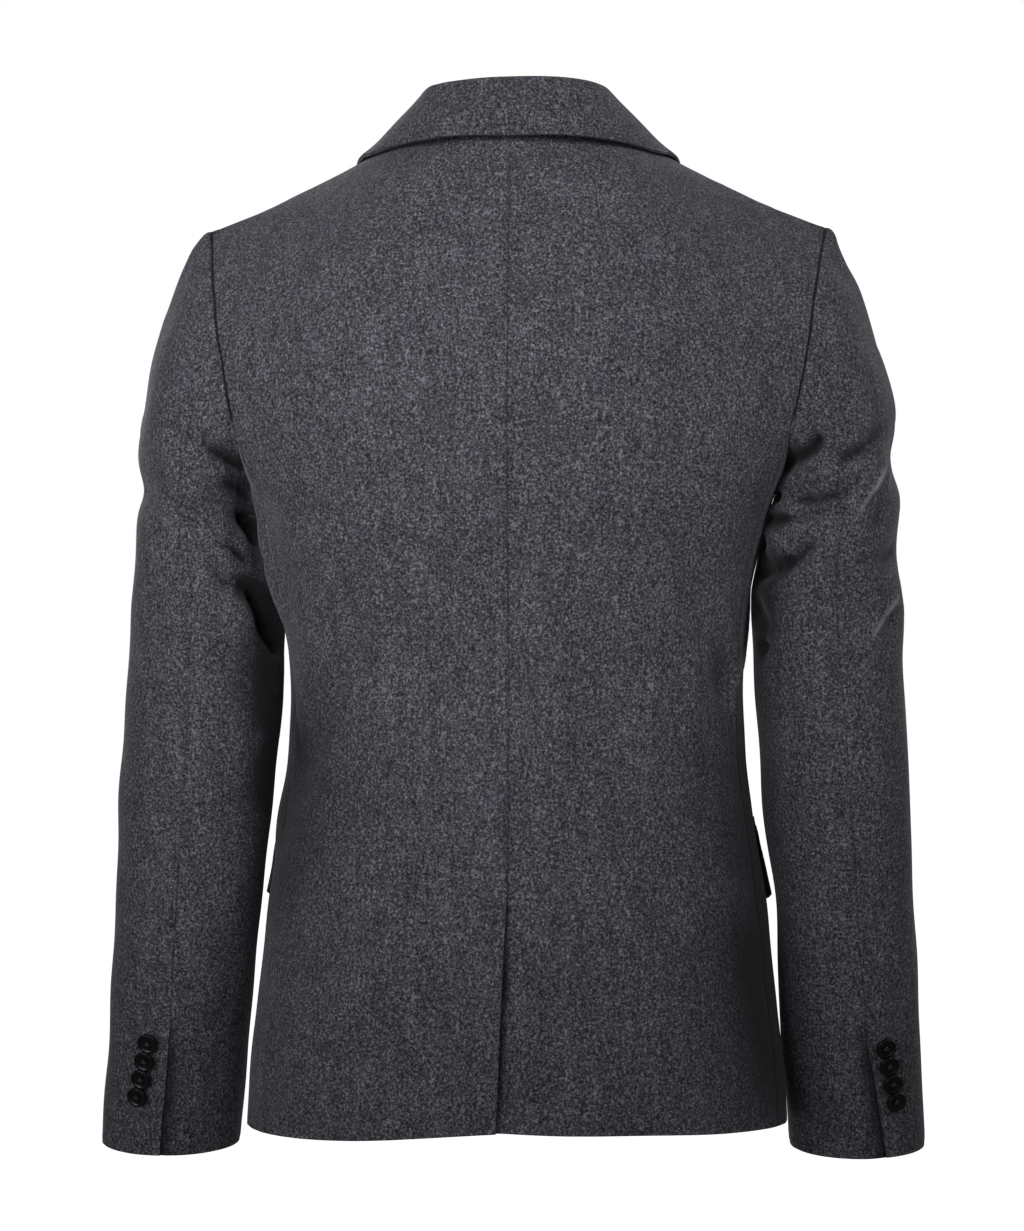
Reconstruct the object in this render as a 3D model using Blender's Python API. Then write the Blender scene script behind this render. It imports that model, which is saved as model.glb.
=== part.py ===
"""Single breasted blazer, worn shape, hollow.

The jacket hangs as it does on a wearer: +Z is up, the front faces -Y, the wearer's left
is +X, and the origin is the middle of the neck opening, level with the neck seam.
Every piece of cloth is a closed wall made from a grid of points on its outer face. Grids
that share points are sewn there: their walls are mitred together and drawn a little apart.
Tables are in millimetres and degrees. Heights are Z.
"""

from collections import namedtuple

import bmesh
import bpy
import numpy as np
from mathutils import Matrix, Vector
from mathutils.bvhtree import BVHTree

for old in list(bpy.data.objects):
    bpy.data.objects.remove(old, do_unlink=True)

MM = 0.001
FAR = 400.0  # in front of everything
STEP_ASIDE = 6.0  # a short way, in millimetres or degrees, for finding slopes

# Cloth
CLOTH = 2.0  # one layer of wool flannel with its canvas
COLLAR_CLOTH = 3.0  # two layers turned out
SEAM_GAP = 0.3
LAID_GAP = 0.6  # under a piece that lies on a panel
LAPEL_GAP = 1.2  # the same under a lapel, which crosses the round of the chest
FALL_GAP = 1.8  # under the collar's fall, which crosses the round of the shoulders
MITRE_LIMIT = 2.2  # longest mitre, as a multiple of the cloth
LEAST_TURN = 0.12  # faces that turn less than this from each other count as one

# Main sizes
NECK_HALF_WIDTH = 82.0
NECK_BACK_DEPTH = 70.0
SHOULDER_POINT = (216.5, 0.0, -68.0)
SHOULDER_HANDLES = ((105.0, 0.0, -17.5), (165.0, 0.0, -48.0))
CHEST = -270.0  # the level just under the arm, where the upper body starts
BACK_SEAM = 74.0  # angle of the side body's rear seam, from 0 at centre back
FRONT_SEAM = 118.0  # angle of its front seam
VENT_TOP = -509.0
VENT_STEP = 12.0  # height over which the underlap drops behind the overlap
VENT_SLANT = 7.0  # how far the overlap's edge has swung open at the hem
UNDERLAP = 33.0
UNDERLAP_DROP = CLOTH + 0.6
UNDERLAP_EASE = (2.0, 20.0)  # the right back drops behind the left one from here over this width
FRONT_LAP = 18.0  # from centre front to the edge
LAP_LIFT = 1.4  # the left front rises by this at the centre and the right one drops
LAP_EASE = (22.0, 30.0)  # distance from the centre where that starts to fade, and over what
LAP_TOP = (-262.0, 25.0, -300.0)  # it starts below this level, over this height, and is whole here
BREAK = -375.0  # where the roll line leaves the front edge
ROLL_TOP = (72.0, -17.0, 1.0)
NECK_BOW = (0.0, -1.0, 1.5)  # of the neck seam between the shoulder seam and the roll line's top
CUTAWAY = 45.0  # how far the front edge curves away at the hem
CUTAWAY_TOP = -560.0
CUTAWAY_BOTTOM = -702.0
CUTAWAY_POWER = 2.2
CORNER_RISE = 38.0  # how far the hem rises round the front corner
CORNER_START = 0.45  # where that starts, as a share of the front's width

# Grid counts
BACK_COLUMNS = 12
NECK_COLUMNS = 6  # of the back's columns, those that end on the neck
SIDE_COLUMNS = 6
FRONT_COLUMNS = 9
SHOULDER_COLUMNS = BACK_COLUMNS - NECK_COLUMNS
SIDE_ROWS = 3  # rows of the side body above the chest
VENT_ROW = 8  # rows from the chest to the vent's top
ROWS_BELOW_VENT = 6
UNDERLAP_COLUMNS = 3
SMOOTHING_ROUNDS = 4  # times that kinks between the upper back's columns are eased out

# Sections of the body below the arms. Squareness is the exponent of its superellipse.
BodyRing = namedtuple("BodyRing", "height half_width back_depth front_depth squareness")
BODY_RINGS = [
    BodyRing(*row)
    for row in (
        (-702, 190.5, 126.0, 131.0, 2.30),
        (-652, 187.5, 123.0, 130.0, 2.30),
        (-610, 182.5, 120.0, 129.5, 2.30),
        (-554, 177.0, 113.5, 128.5, 2.30),
        (-497, 169.0, 105.0, 128.0, 2.30),
        (-455, 162.5, 100.0, 128.5, 2.32),
        (-400, 159.5, 98.0, 129.5, 2.35),
        (-350, 161.0, 101.0, 130.0, 2.40),
        (-315, 165.0, 105.5, 130.0, 2.50),
        (-290, 171.0, 110.0, 130.5, 2.70),
        (-270, 176.0, 113.0, 131.0, 2.85),
    )
]

HemPoint = namedtuple("HemPoint", "angle left right")
HEM = [
    HemPoint(*row)
    for row in (
        (0, -686.0, -686.0),
        (30, -693.5, -690.5),
        (60, -695.5, -691.0),
        (90, -695.0, -692.5),
        (130, -699.0, -698.0),
        (190, -702.0, -702.0),
    )
]

# Where the back and the front meet the side body and, above it, the armhole
EdgePoint = namedtuple("EdgePoint", "height x y")
BACK_EDGE = [
    EdgePoint(*row)
    for row in (
        (-250, 179.0, 53.5),
        (-228, 186.5, 61.5),
        (-205, 192.5, 66.0),
        (-182, 197.5, 67.0),
        (-160, 201.5, 64.0),
        (-138, 205.0, 56.5),
        (-117, 208.0, 45.0),
        (-97, 211.5, 30.0),
        (-81, 214.5, 14.5),
    )
]
FRONT_EDGE = [
    EdgePoint(*row)
    for row in (
        (-250, 164.0, -73.0),
        (-231, 169.0, -75.5),
        (-212, 173.0, -76.0),
        (-189, 177.5, -75.0),
        (-165, 183.0, -71.0),
        (-140, 190.0, -62.5),
        (-117, 197.5, -50.0),
        (-97, 205.0, -34.0),
        (-81, 211.5, -17.0),
    )
]
UNDERARM_HANDLES = ((186.0, 48.0, -258.0), (178.0, -52.0, -262.0))

RollPoint = namedtuple("RollPoint", "height y")
ROLL = [
    RollPoint(*row)
    for row in (
        (-270, -130),
        (-220, -124),
        (-170, -114),
        (-120, -99),
        (-80, -81),
        (-40, -55),
        (-15, -33),
        (1, -17),
    )
]

# How the back's columns leave the chest and reach the neck and the shoulder
Rise = namedtuple("Rise", "column from_chest to_top lean_x lean_y lean_z")
BACK_RISE = [
    Rise(*row)
    for row in (
        (0, 100, 62, 0.00, 0.42, -0.91),
        (3, 105, 76, 0.19, 0.75, -0.63),
        (4, 107, 81, 0.17, 0.86, -0.48),
        (5, 109, 85, 0.13, 0.94, -0.32),
        (6, 110, 87, 0.12, 0.97, -0.22),
        (9, 100, 76, 0.06, 0.98, -0.18),
        (12, 80, 55, 0.04, 0.98, -0.20),
    )
]
FRONT_RISE = [
    Rise(*row)
    for row in (
        (0, 70, 55, 0.00, -0.97, -0.24),
        (3, 80, 75, 0.00, -0.97, -0.24),
        (6, 90, 85, 0.00, -0.90, -0.43),
        (9, 90, 60, -0.10, -0.60, -0.79),
    )
]

# The collar's under face at each station: a point of the fold and one of the fall's edge
CollarStation = namedtuple("CollarStation", "fold_x fold_y fold_z edge_x edge_y edge_z")
COLLAR_BACK = [
    CollarStation(*row)
    for row in (
        (0.0, 69.0, 27.0, 0.0, 80.0, -12.0),
        (20.0, 66.5, 27.0, 27.0, 79.0, -11.5),
        (38.0, 59.5, 26.5, 52.0, 73.0, -12.5),
        (51.5, 49.5, 25.5, 72.0, 60.0, -14.0),
        (59.5, 36.0, 24.5, 88.0, 43.0, -16.0),
        (64.0, 20.0, 22.5, 101.0, 22.0, -19.0),
        (66.5, 2.0, 19.0, 110.0, -1.0, -20.5),
    )
]
COLLAR_FRONT = [
    CollarStation(*row)
    for row in (
        (68.5, -10.0, 14.0, 116.0, -20.0, -31.0),
        (69.0, -20.0, 9.0, 120.5, -36.0, -42.0),
        (67.5, -27.0, 3.5, 123.0, -48.0, -52.0),
    )
]
# Front view of the collar's end: along the gorge seam to the notch, then out to the tip
GORGE_TOP = (65.5, -25.0)
NOTCH = (99.0, -72.0)
COLLAR_TIP = (123.0, -66.0)
GORGE_SHARE = 5 / 7  # of the collar's end that is gorge seam
COLLAR_END_STATIONS = 2
COLLAR_ROLL_LIFT = 4.0  # the collar stands off the front by this much more where it rolls over
COLLAR_LEAVES_NECK = (-0.5, -2.0, 3.6)  # its way off the neck seam at the roll line's top
ROUND_FOLD = 2.2  # half the width of the collar's fold
FOLD_ROUND_DROP = 0.6  # the sides of the fold are lower than its top by this share of that
STAND_BOW = 1.0  # the stand bows in towards the neck by this
FALL_BOW = 1.5  # and the fall bows out
STAND_SHARE = 0.55  # the stand's middle point, from the neck seam to the fold
FALL_SHARES = (0.35, 0.70)  # the fall's two middle points, from the fold to the edge
COLLAR_TILT = 0.02  # the right side of the fold sits higher by this share of its distance out

# Front view of the lapel: heights on the roll line, and the outer edge opposite each
LapelRow = namedtuple("LapelRow", "roll_height edge_x edge_height")
LAPEL = [
    LapelRow(*row)
    for row in (
        (-371, -12, -374),
        (-345, 6, -353),
        (-310, 27, -322),
        (-270, 50, -286),
        (-230, 71, -250),
        (-190, 89, -214),
        (-150, 104, -180),
        (-110, 115, -148),
        (-72, 122, -124),
        (-30, 125, -106),
    )
]
LAPEL_ROWS = 20
LAPEL_COLUMNS = 5
LAPEL_ROLL_LIFT = 1.5  # the lapel stands off the front by this much more at its roll
WHOLE_LIFT_WIDTH = 40.0  # where the lapel is narrower, it lifts less
LEAST_LAPEL = 4.0  # width at its pointed lower end
COVER_MARGIN = 3.0  # between the left front's edge and the lapel that comes out from under it
ABOVE_SHOULDERS = 60.0  # outwards at the shoulders is away from the middle and this much up
PAST_EDGE_SHARE = 0.7  # of its last column's width, by which a front is lengthened for laying on

# Sleeve sections, level cuts below the arm: how far the outer and the inner line are from
# the body's middle plane
SleeveRing = namedtuple("SleeveRing", "height left_outer left_inner right_outer right_inner")
SLEEVE_RINGS = [
    SleeveRing(*row)
    for row in (
        (-718, 304.0, 204.0, 288.5, 192.5),
        (-700, 303.0, 202.0, 288.0, 191.0),
        (-652, 297.5, 196.5, 285.5, 187.5),
        (-596, 293.0, 190.0, 283.0, 184.0),
        (-540, 288.5, 184.0, 279.5, 181.9),
        (-485, 285.5, 176.5, 277.0, 174.0),
        (-430, 281.0, 170.0, 274.0, 170.0),
        (-400, 278.0, 167.0, 272.5, 168.0),
        (-370, 276.0, 166.0, 271.5, 166.5),
        (-342, 274.0, 165.0, 271.0, 164.3),
        (-314, 272.0, 167.5, 270.0, 166.1),
        (-285, 269.8, 173.8, 268.0, 172.9),
        (-270, 270.0, 178.2, 268.2, 177.3),
    )
]
SleeveAxis = namedtuple("SleeveAxis", "height y half_depth")
SLEEVE_AXIS = [
    SleeveAxis(*row)
    for row in (
        (-718, -52, 42),
        (-640, -38, 43.5),
        (-550, -22, 46),
        (-470, -11, 48),
        (-400, -4, 51),
        (-330, 0, 56),
        (-270, 0, 62),
    )
]
CUFF_TILT = 0.14  # the cuff's plane drops by this share of the way towards the back
SLEEVE_ROWS = 15
# How the sleeve leaves the armhole, by the angle round the arm: 0 outside, 90 at the back
SleeveHead = namedtuple("SleeveHead", "angle out_x out_y out_z from_armhole to_chest")
SLEEVE_HEAD = [
    SleeveHead(*row)
    for row in (
        (0, 1.00, 0.00, -0.07, 26.5, 80),
        (45, 0.92, 0.25, -0.28, 24, 68),
        (90, 0.72, 0.30, -0.62, 16, 45),
        (135, 0.62, 0.25, -0.74, 10, 22),
        (180, 0.90, 0.00, -0.44, 6, 8),
        (225, 0.70, -0.25, -0.67, 10, 22),
        (270, 0.80, -0.30, -0.52, 20, 45),
        (315, 0.93, -0.20, -0.28, 25, 68),
        (360, 1.00, 0.00, -0.07, 26.5, 80),
    )
]
HEAD_FOLD_ROWS = 4  # rows over which the folds fade out towards the armhole
HEAD_STEPS = (0.0, 0.05, 0.11, 0.18, 0.26, 0.35, 0.45, 0.55, 0.65, 0.75, 0.84, 0.92)
ELBOW_SEAM_POINT = 5  # armhole points from the shoulder to the sleeve's elbow seam
FOREARM_SEAM_POINT = 14  # and to its front seam, under the arm
ELBOW_TWIST = {"left": 3.0, "right": -20.0}  # the seam's turn by the cuff, in degrees

ARM_RADIUS = 50.0  # turns angles round the arm into widths of cloth

# Soft troughs (negative) and ridges on the sleeves, from one end of each to the other
SleeveFold = namedtuple("SleeveFold", "side height_1 angle_1 height_2 angle_2 depth width")
SLEEVE_FOLDS = [
    SleeveFold(*row)
    for row in (
        ("left", -224, 96, -240, 140, -4.0, 9),
        ("left", -262, 126, -282, 172, -5.0, 10),
        ("left", -288, 106, -328, 155, -4.0, 10),
        ("left", -243, 105, -262, 150, 2.5, 9),
        ("left", -252, -40, -250, 45, -5.0, 13),
        ("left", -345, 150, -395, 110, -2.0, 14),
        ("right", -87, -30, -88, 35, -5.0, 10),
        ("right", -112, 0, -155, 0, -3.5, 24),
        ("right", -232, 130, -208, 100, -4.0, 9),
        ("right", -256, 168, -262, 122, -4.5, 10),
        ("right", -303, 165, -310, 120, -4.5, 11),
        ("right", -225, -35, -227, 30, -5.0, 16),
        ("right", -194, -25, -194, 25, 2.5, 12),
        ("right", -222, 34, -264, 64, 2.5, 9),
        ("right", -292, -30, -294, 25, -3.0, 13),
        ("right", -317, 0, -353, 55, 2.5, 10),
        ("left", -300, 215, -285, 250, -4.0, 12),
        ("right", -296, 215, -282, 250, -4.0, 12),
    )
]
# The same on the body, by the angle from centre back
BodyFold = namedtuple("BodyFold", "side height_1 angle_1 height_2 angle_2 depth width")
BODY_FOLDS = [
    BodyFold(*row)
    for row in (
        ("right", -240, 37, -280, 42, -2.0, 14),
        ("right", -280, 42, -400, 62, -2.5, 14),
        ("right", -345, 70, -420, 72, 1.5, 10),
        ("left", -363, 40, -470, 68, -2.5, 22),
        ("left", -290, 84, -352, 86, 2.0, 14),
        ("left", -474, 84, -498, 96, 3.0, 15),
        ("left", -300, 158, -400, 132, -2.5, 20),
        ("right", -310, 158, -390, 132, -2.5, 20),
    )
]
BODY_RADIUS = 150.0  # turns angles round the body into widths of cloth
MIDDLE_EASE = 40.0  # the folds fade out over this distance towards the middle plane

# Hip pockets: angles of the flap's ends and its levels
FLAP_REAR = 97.0
FLAP_FRONT = 160.0
FLAP_TOP = -488.0
FLAP_DEPTH = 53.0
FLAP_COLUMNS = 10
FLAP_ROWS = 4
FLAP_STAND = {"left": 4.4, "right": 2.6}  # how far the rear lower corner stands off the hip
FLAP_LIFT = 0.8  # and its whole lower edge by this
FLAP_CORNER = 9.0
FLAP_REAR_CORNER = 4.5
FLAP_CORNER_SHARE = 0.12  # of the flap's length that each rounded corner takes
WELT_HEIGHT = 6.0
WELT_CLOTH = 1.6

# Buttons
Button = namedtuple("Button", "radius thickness rim_width dish sides")
FRONT_BUTTON = Button(10.0, 3.6, 1.8, 0.8, 24)
CUFF_BUTTON = Button(7.5, 2.6, 1.4, 0.6, 20)
FRONT_BUTTON_HEIGHTS = (-385.0, -485.0)
CUFF_BUTTON_TOP = -636.0
CUFF_BUTTON_PITCH = 13.0
CUFF_BUTTON_TILT = 14.0  # each lies on the edge of the one below it
CUFF_BUTTON_ANGLES = {"left": (72.5, 67.0), "right": (63.5, 56.5)}  # first and last
CUFF_BUTTON_COUNT = 4
SHANK = 0.4  # thread between a button and the cloth
FOOT_SHARE = 0.78  # a button's foot against its radius
FOOT_LEVEL = 0.42  # where its side starts and ends, as shares of its thickness
SIDE_LEVEL = 0.66


# ---------------------------------------------------------------- curves and tables


def read(table, column, at):
    """A column's value on a smooth curve through a table's rows, ordered by the first column."""
    keys = np.array([row[0] for row in table], float)
    values = np.array([getattr(row, column) for row in table], float)
    slopes = np.gradient(values, keys)
    at = float(np.clip(at, keys[0], keys[-1]))
    last = int(np.clip(np.searchsorted(keys, at), 1, len(keys) - 1))
    first = last - 1
    span = keys[last] - keys[first]
    t = (at - keys[first]) / span
    return (
        (2 * t**3 - 3 * t**2 + 1) * values[first]
        + (t**3 - 2 * t**2 + t) * span * slopes[first]
        + (3 * t**2 - 2 * t**3) * values[last]
        + (t**3 - t**2) * span * slopes[last]
    )


def bezier(start, handle_1, handle_2, end, t):
    start, handle_1, handle_2, end = (np.array(p, float) for p in (start, handle_1, handle_2, end))
    return (
        (1 - t) ** 3 * start
        + 3 * (1 - t) ** 2 * t * handle_1
        + 3 * (1 - t) * t**2 * handle_2
        + t**3 * end
    )


def ease(t):
    """0 to 1, level at both ends."""
    t = np.clip(t, 0.0, 1.0)
    return t * t * (3 - 2 * t)


def unit(vector):
    return vector / max(np.linalg.norm(vector), 1e-9)


def sum_of_folds(folds, angle, height, radius):
    """How far the folds lift the cloth at a place; each fades away round its own line."""
    lift = 0.0
    place = np.array((np.radians(angle) * radius, height))
    for fold in folds:
        start = np.array((np.radians(fold.angle_1) * radius, fold.height_1))
        end = np.array((np.radians(fold.angle_2) * radius, fold.height_2))
        line = end - start
        share = np.clip((place - start) @ line / (line @ line), 0.0, 1.0)
        distance = np.linalg.norm(place - start - share * line)
        lift += fold.depth * float(np.exp(-((distance / fold.width) ** 2)))
    return lift


# ---------------------------------------------------------------- grids and walls


class Cloth:
    """One piece: a grid of points on its outer face, and which of the grid's cells are cloth."""

    def __init__(self, name, points, toward, cells=None, thickness=CLOTH):
        self.name = name
        self.points = np.array(points, float)
        self.thickness = thickness
        rows, columns = self.points.shape[:2]
        self.cells = np.ones((rows - 1, columns - 1), bool) if cells is None else cells
        along = np.gradient(self.points, axis=0)
        across = np.gradient(self.points, axis=1)
        normals = np.cross(along, across)
        normals /= np.maximum(np.linalg.norm(normals, axis=2, keepdims=True), 1e-9)
        place, direction = toward
        if normals[place] @ np.array(direction, float) < 0:
            normals = -normals
        self.mitres = normals
        self.normals = normals.copy()

    def edges(self):
        """Each open edge of the cloth: its two grid places and the two across the cell from it."""
        rows, columns = self.cells.shape
        for i in range(rows):
            for j in range(columns):
                if not self.cells[i, j]:
                    continue
                if i == 0 or not self.cells[i - 1, j]:
                    yield (i, j), (i, j + 1), (i + 1, j), (i + 1, j + 1)
                if i == rows - 1 or not self.cells[i + 1, j]:
                    yield (i + 1, j), (i + 1, j + 1), (i, j), (i, j + 1)
                if j == 0 or not self.cells[i, j - 1]:
                    yield (i, j), (i + 1, j), (i, j + 1), (i + 1, j + 1)
                if j == columns - 1 or not self.cells[i, j + 1]:
                    yield (i, j + 1), (i + 1, j + 1), (i, j), (i + 1, j)


def key_of(point):
    return tuple(np.round(point * 50).astype(int))


def sew(pieces):
    """Mitres the walls of pieces that share points, then draws their edges apart by the seam gap."""
    sharing = {}
    for piece in pieces:
        for place in {p for edge in piece.edges() for p in edge[:2]}:
            sharing.setdefault(key_of(piece.points[place]), []).append((piece, place))
    for members in sharing.values():
        if len({piece.name for piece, _ in members}) < 2:
            continue
        facing = np.array([piece.normals[place] for piece, place in members])
        mitre = np.linalg.lstsq(facing, np.ones(len(facing)), rcond=LEAST_TURN)[0]
        mitre *= min(1.0, MITRE_LIMIT / np.linalg.norm(mitre))
        for piece, place in members:
            piece.mitres[place] = mitre
    owners = {key: {piece.name for piece, _ in members} for key, members in sharing.items()}
    for piece in pieces:
        pulls = {}
        for first, last, beside_first, beside_last in piece.edges():
            shared = owners[key_of(piece.points[first])] & owners[key_of(piece.points[last])]
            if len(shared) < 2:
                continue
            line = unit(piece.points[last] - piece.points[first])
            kind = "column" if first[0] == last[0] else "row"
            for place, beside in ((first, beside_first), (last, beside_last)):
                inward = piece.points[beside] - piece.points[place]
                inward = unit(inward - (inward @ line) * line)
                pulls.setdefault((place, kind), []).append(inward)
        moves = {}
        for (place, _), inwards in pulls.items():
            step = unit(np.mean(inwards, axis=0)) * SEAM_GAP / 2
            moves[place] = moves.get(place, 0) + step
        for place, move in moves.items():
            piece.points[place] += move


SHARP_ANGLE = np.radians(50)
RIM_DIRECTION = np.array((0.37, 0.23, 0.90))  # both sides of a seam split their rims alike


def wall(piece, material):
    """The closed solid of a piece of cloth."""
    outer = piece.points
    inner = piece.points - piece.mitres * piece.thickness
    mesh = bmesh.new()
    corners = {}

    def corner(layer, place):
        if (layer, place) not in corners:
            point = (outer if layer == 0 else inner)[place]
            corners[layer, place] = mesh.verts.new(Vector(point * MM))
        return corners[layer, place]

    rows, columns = piece.cells.shape
    for i in range(rows):
        for j in range(columns):
            if piece.cells[i, j]:
                ring = ((i, j), (i + 1, j), (i + 1, j + 1), (i, j + 1))
                mesh.faces.new([corner(0, place) for place in ring])
                mesh.faces.new([corner(1, place) for place in reversed(ring)])
    for first, last, *_ in piece.edges():
        quad = [corner(0, first), corner(0, last), corner(1, last), corner(1, first)]
        if (outer[last] - outer[first]) @ RIM_DIRECTION < 0:
            quad = quad[1:] + quad[:1]
        mesh.faces.new((quad[0], quad[1], quad[2]))
        mesh.faces.new((quad[0], quad[2], quad[3]))
    bmesh.ops.recalc_face_normals(mesh, faces=mesh.faces)
    if mesh.calc_volume(signed=True) < 0:
        bmesh.ops.reverse_faces(mesh, faces=mesh.faces)
    return as_object(piece.name, mesh, material)


def as_object(name, mesh, material):
    data = bpy.data.meshes.new(name)
    mesh.to_mesh(data)
    mesh.free()
    data.shade_smooth()
    data.set_sharp_from_angle(angle=SHARP_ANGLE)
    thing = bpy.data.objects.new(name, data)
    bpy.context.scene.collection.objects.link(thing)
    data.materials.append(material)
    return thing


def material_of(name, colour, roughness):
    """One Principled material."""
    material = bpy.data.materials.new(name)
    material.use_nodes = True
    shader = material.node_tree.nodes["Principled BSDF"]
    shader.inputs["Base Color"].default_value = (*colour, 1.0)
    shader.inputs["Roughness"].default_value = roughness
    shader.inputs["Metallic"].default_value = 0.0
    return material


FLANNEL = (0.055, 0.055, 0.062)
HORN = (0.012, 0.012, 0.014)


def mirrored(points, side):
    """The wearer's left is +X, so the right side turns X round."""
    return np.array(points, float) * (1.0 if side == "left" else -1.0, 1.0, 1.0)


# ---------------------------------------------------------------- the body's form


def angle_of_x(x, height):
    """The ring angle of a place on the front, by its distance from centre front."""
    power = read(BODY_RINGS, "squareness", height) / 2
    share = abs(x) / read(BODY_RINGS, "half_width", height)
    return 180.0 - np.sign(x) * np.degrees(np.arcsin(share**power))


def back_angle_of_x(x, height):
    return 180.0 - angle_of_x(x, height)


def body_point(angle, height):
    """A place on the body below the arms; angles run from 0 at centre back to 180 at the front."""
    power = 2 / read(BODY_RINGS, "squareness", height)
    across, along = np.sin(np.radians(angle)), np.cos(np.radians(angle))
    depth = read(BODY_RINGS, "back_depth" if along > 0 else "front_depth", height)
    x = read(BODY_RINGS, "half_width", height) * np.sign(across) * abs(across) ** power
    y = depth * np.sign(along) * abs(along) ** power
    return np.array((x, y, height))


def body_outward(point):
    """Level direction away from the body at a place on it."""
    half_width = read(BODY_RINGS, "half_width", point[2])
    depth = read(BODY_RINGS, "back_depth" if point[1] > 0 else "front_depth", point[2])
    return unit(np.array((point[0] / half_width**2, point[1] / depth**2, 0.0)))


def creased(point, side):
    """The place moved out or in by the body's folds; left and right agree on the middle planes."""
    half_width = read(BODY_RINGS, "half_width", point[2])
    depth = read(BODY_RINGS, "back_depth" if point[1] > 0 else "front_depth", point[2])
    turn = np.degrees(np.arctan2(point[0] / half_width, point[1] / depth))
    folds = [fold for fold in BODY_FOLDS if fold.side == side]
    lift = sum_of_folds(folds, turn, point[2], BODY_RADIUS) 
    lift *= ease(abs(point[0]) / MIDDLE_EASE)
    return point + body_outward(point) * lift


def lower_heights(bottom):
    """Heights of the grid's rows from the chest down to the hem, with one at the vent's top."""
    to_vent = np.linspace(CHEST, VENT_TOP, VENT_ROW + 1)
    step = VENT_TOP - VENT_STEP
    return [*to_vent, step, *np.linspace(step, bottom, ROWS_BELOW_VENT)[1:]]


def chest_slope(angle):
    """How a column leaves the chest level, for each millimetre up."""
    return (body_point(angle, CHEST) - body_point(angle, CHEST - STEP_ASIDE)) / STEP_ASIDE


def edge_curve(table, start, end):
    """The points of a panel's side from the chest up to the shoulder point."""
    rows = [start] + [np.array((row.x, row.y, row.height)) for row in table] + [end]
    return np.array(rows, float)


def rising_columns(angles, tops, rises):
    """Columns from the chest up to the given tops, one after another, as functions of a share."""
    columns = []
    for index, (angle, top) in enumerate(zip(angles, tops)):
        start = body_point(angle, CHEST)
        handle_1 = start + chest_slope(angle) * read(rises, "from_chest", index)
        lean = unit(np.array([read(rises, "lean_" + axis, index) for axis in "xyz"]))
        handle_2 = np.array(top) + lean * read(rises, "to_top", index)
        columns.append((start, handle_1, handle_2, np.array(top)))
    return columns


def eased_across(rows):
    """The rows above the chest with the kinks between their columns eased out; their ends stay."""
    rows = np.array(rows)
    inner = rows[1:-1]
    for _ in range(SMOOTHING_ROUNDS):
        middle = (inner[:, :-2] + inner[:, 2:]) / 2
        inner[:, 1:-1] += (middle - inner[:, 1:-1]) / 2
    return rows


def neck_point(turn):
    """A place on the back of the neck seam, by its angle from centre back."""
    x = NECK_HALF_WIDTH * np.sin(np.radians(turn))
    y = NECK_BACK_DEPTH * np.cos(np.radians(turn))
    return np.array((x, y, 0.0))


def shoulder_point(share):
    """A place on the shoulder seam, from the neck to the sleeve."""
    return bezier(neck_point(90), *SHOULDER_HANDLES, SHOULDER_POINT, share)


def upper_heights(edge):
    """Shares of the way up at which the rows above the chest lie."""
    return (edge[:, 2] - edge[0, 2]) / (edge[-1, 2] - edge[0, 2])


def front_edge_x(height):
    """How far the front edge, or above the break the roll line, is from the middle plane."""
    if height > BREAK:
        share = (height - BREAK) / (ROLL_TOP[2] - BREAK)
        return -FRONT_LAP + share * (ROLL_TOP[0] + FRONT_LAP)
    below = np.clip((CUTAWAY_TOP - height) / (CUTAWAY_TOP - CUTAWAY_BOTTOM), 0, 1)
    return -FRONT_LAP + CUTAWAY * below**CUTAWAY_POWER


def back_grid(side):
    """The back's points, from the neck and shoulder down to the hem."""
    angles = np.linspace(0, BACK_SEAM, BACK_COLUMNS + 1)
    tops = [neck_point(turn) for turn in np.linspace(0, 90, NECK_COLUMNS + 1)]
    tops += [shoulder_point(s) for s in np.linspace(0, 1, SHOULDER_COLUMNS + 1)[1:]]
    edge = edge_curve(BACK_EDGE, body_point(BACK_SEAM, CHEST), SHOULDER_POINT)
    columns = rising_columns(angles, tops, BACK_RISE)
    rows = []
    for t, edge_point in zip(upper_heights(edge)[::-1], edge[::-1]):
        miss = edge_point - bezier(*columns[-1], t)
        row = [
            bezier(*column, t) + miss * (index / BACK_COLUMNS) ** 3
            for index, column in enumerate(columns)
        ]
        rows.append(row)
    rows = list(eased_across(rows))
    per_column = []
    for index, angle in enumerate(angles):
        bottom = read(HEM, side, angle)
        heights = lower_heights(bottom)[1:]
        column = []
        for height in heights:
            below_vent = np.clip((VENT_TOP - height) / (VENT_TOP - bottom), 0, 1)
            start = back_angle_of_x(VENT_SLANT * below_vent, height) if side == "left" else 0.0
            turn = start + (BACK_SEAM - start) * index / BACK_COLUMNS
            column.append(body_point(turn, height))
        per_column.append(column)
    rows += [list(row) for row in zip(*per_column)]
    grid = np.array(rows)
    return np.array([[creased(point, side) for point in row] for row in grid])


def underarm(share):
    """A place on the armhole under the arm, from the back seam to the front seam."""
    back, front = BACK_EDGE[SIDE_ROWS - 1], FRONT_EDGE[SIDE_ROWS - 1]
    start = (back.x, back.y, back.height)
    end = (front.x, front.y, front.height)
    return bezier(start, *UNDERARM_HANDLES, end, share)


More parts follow.
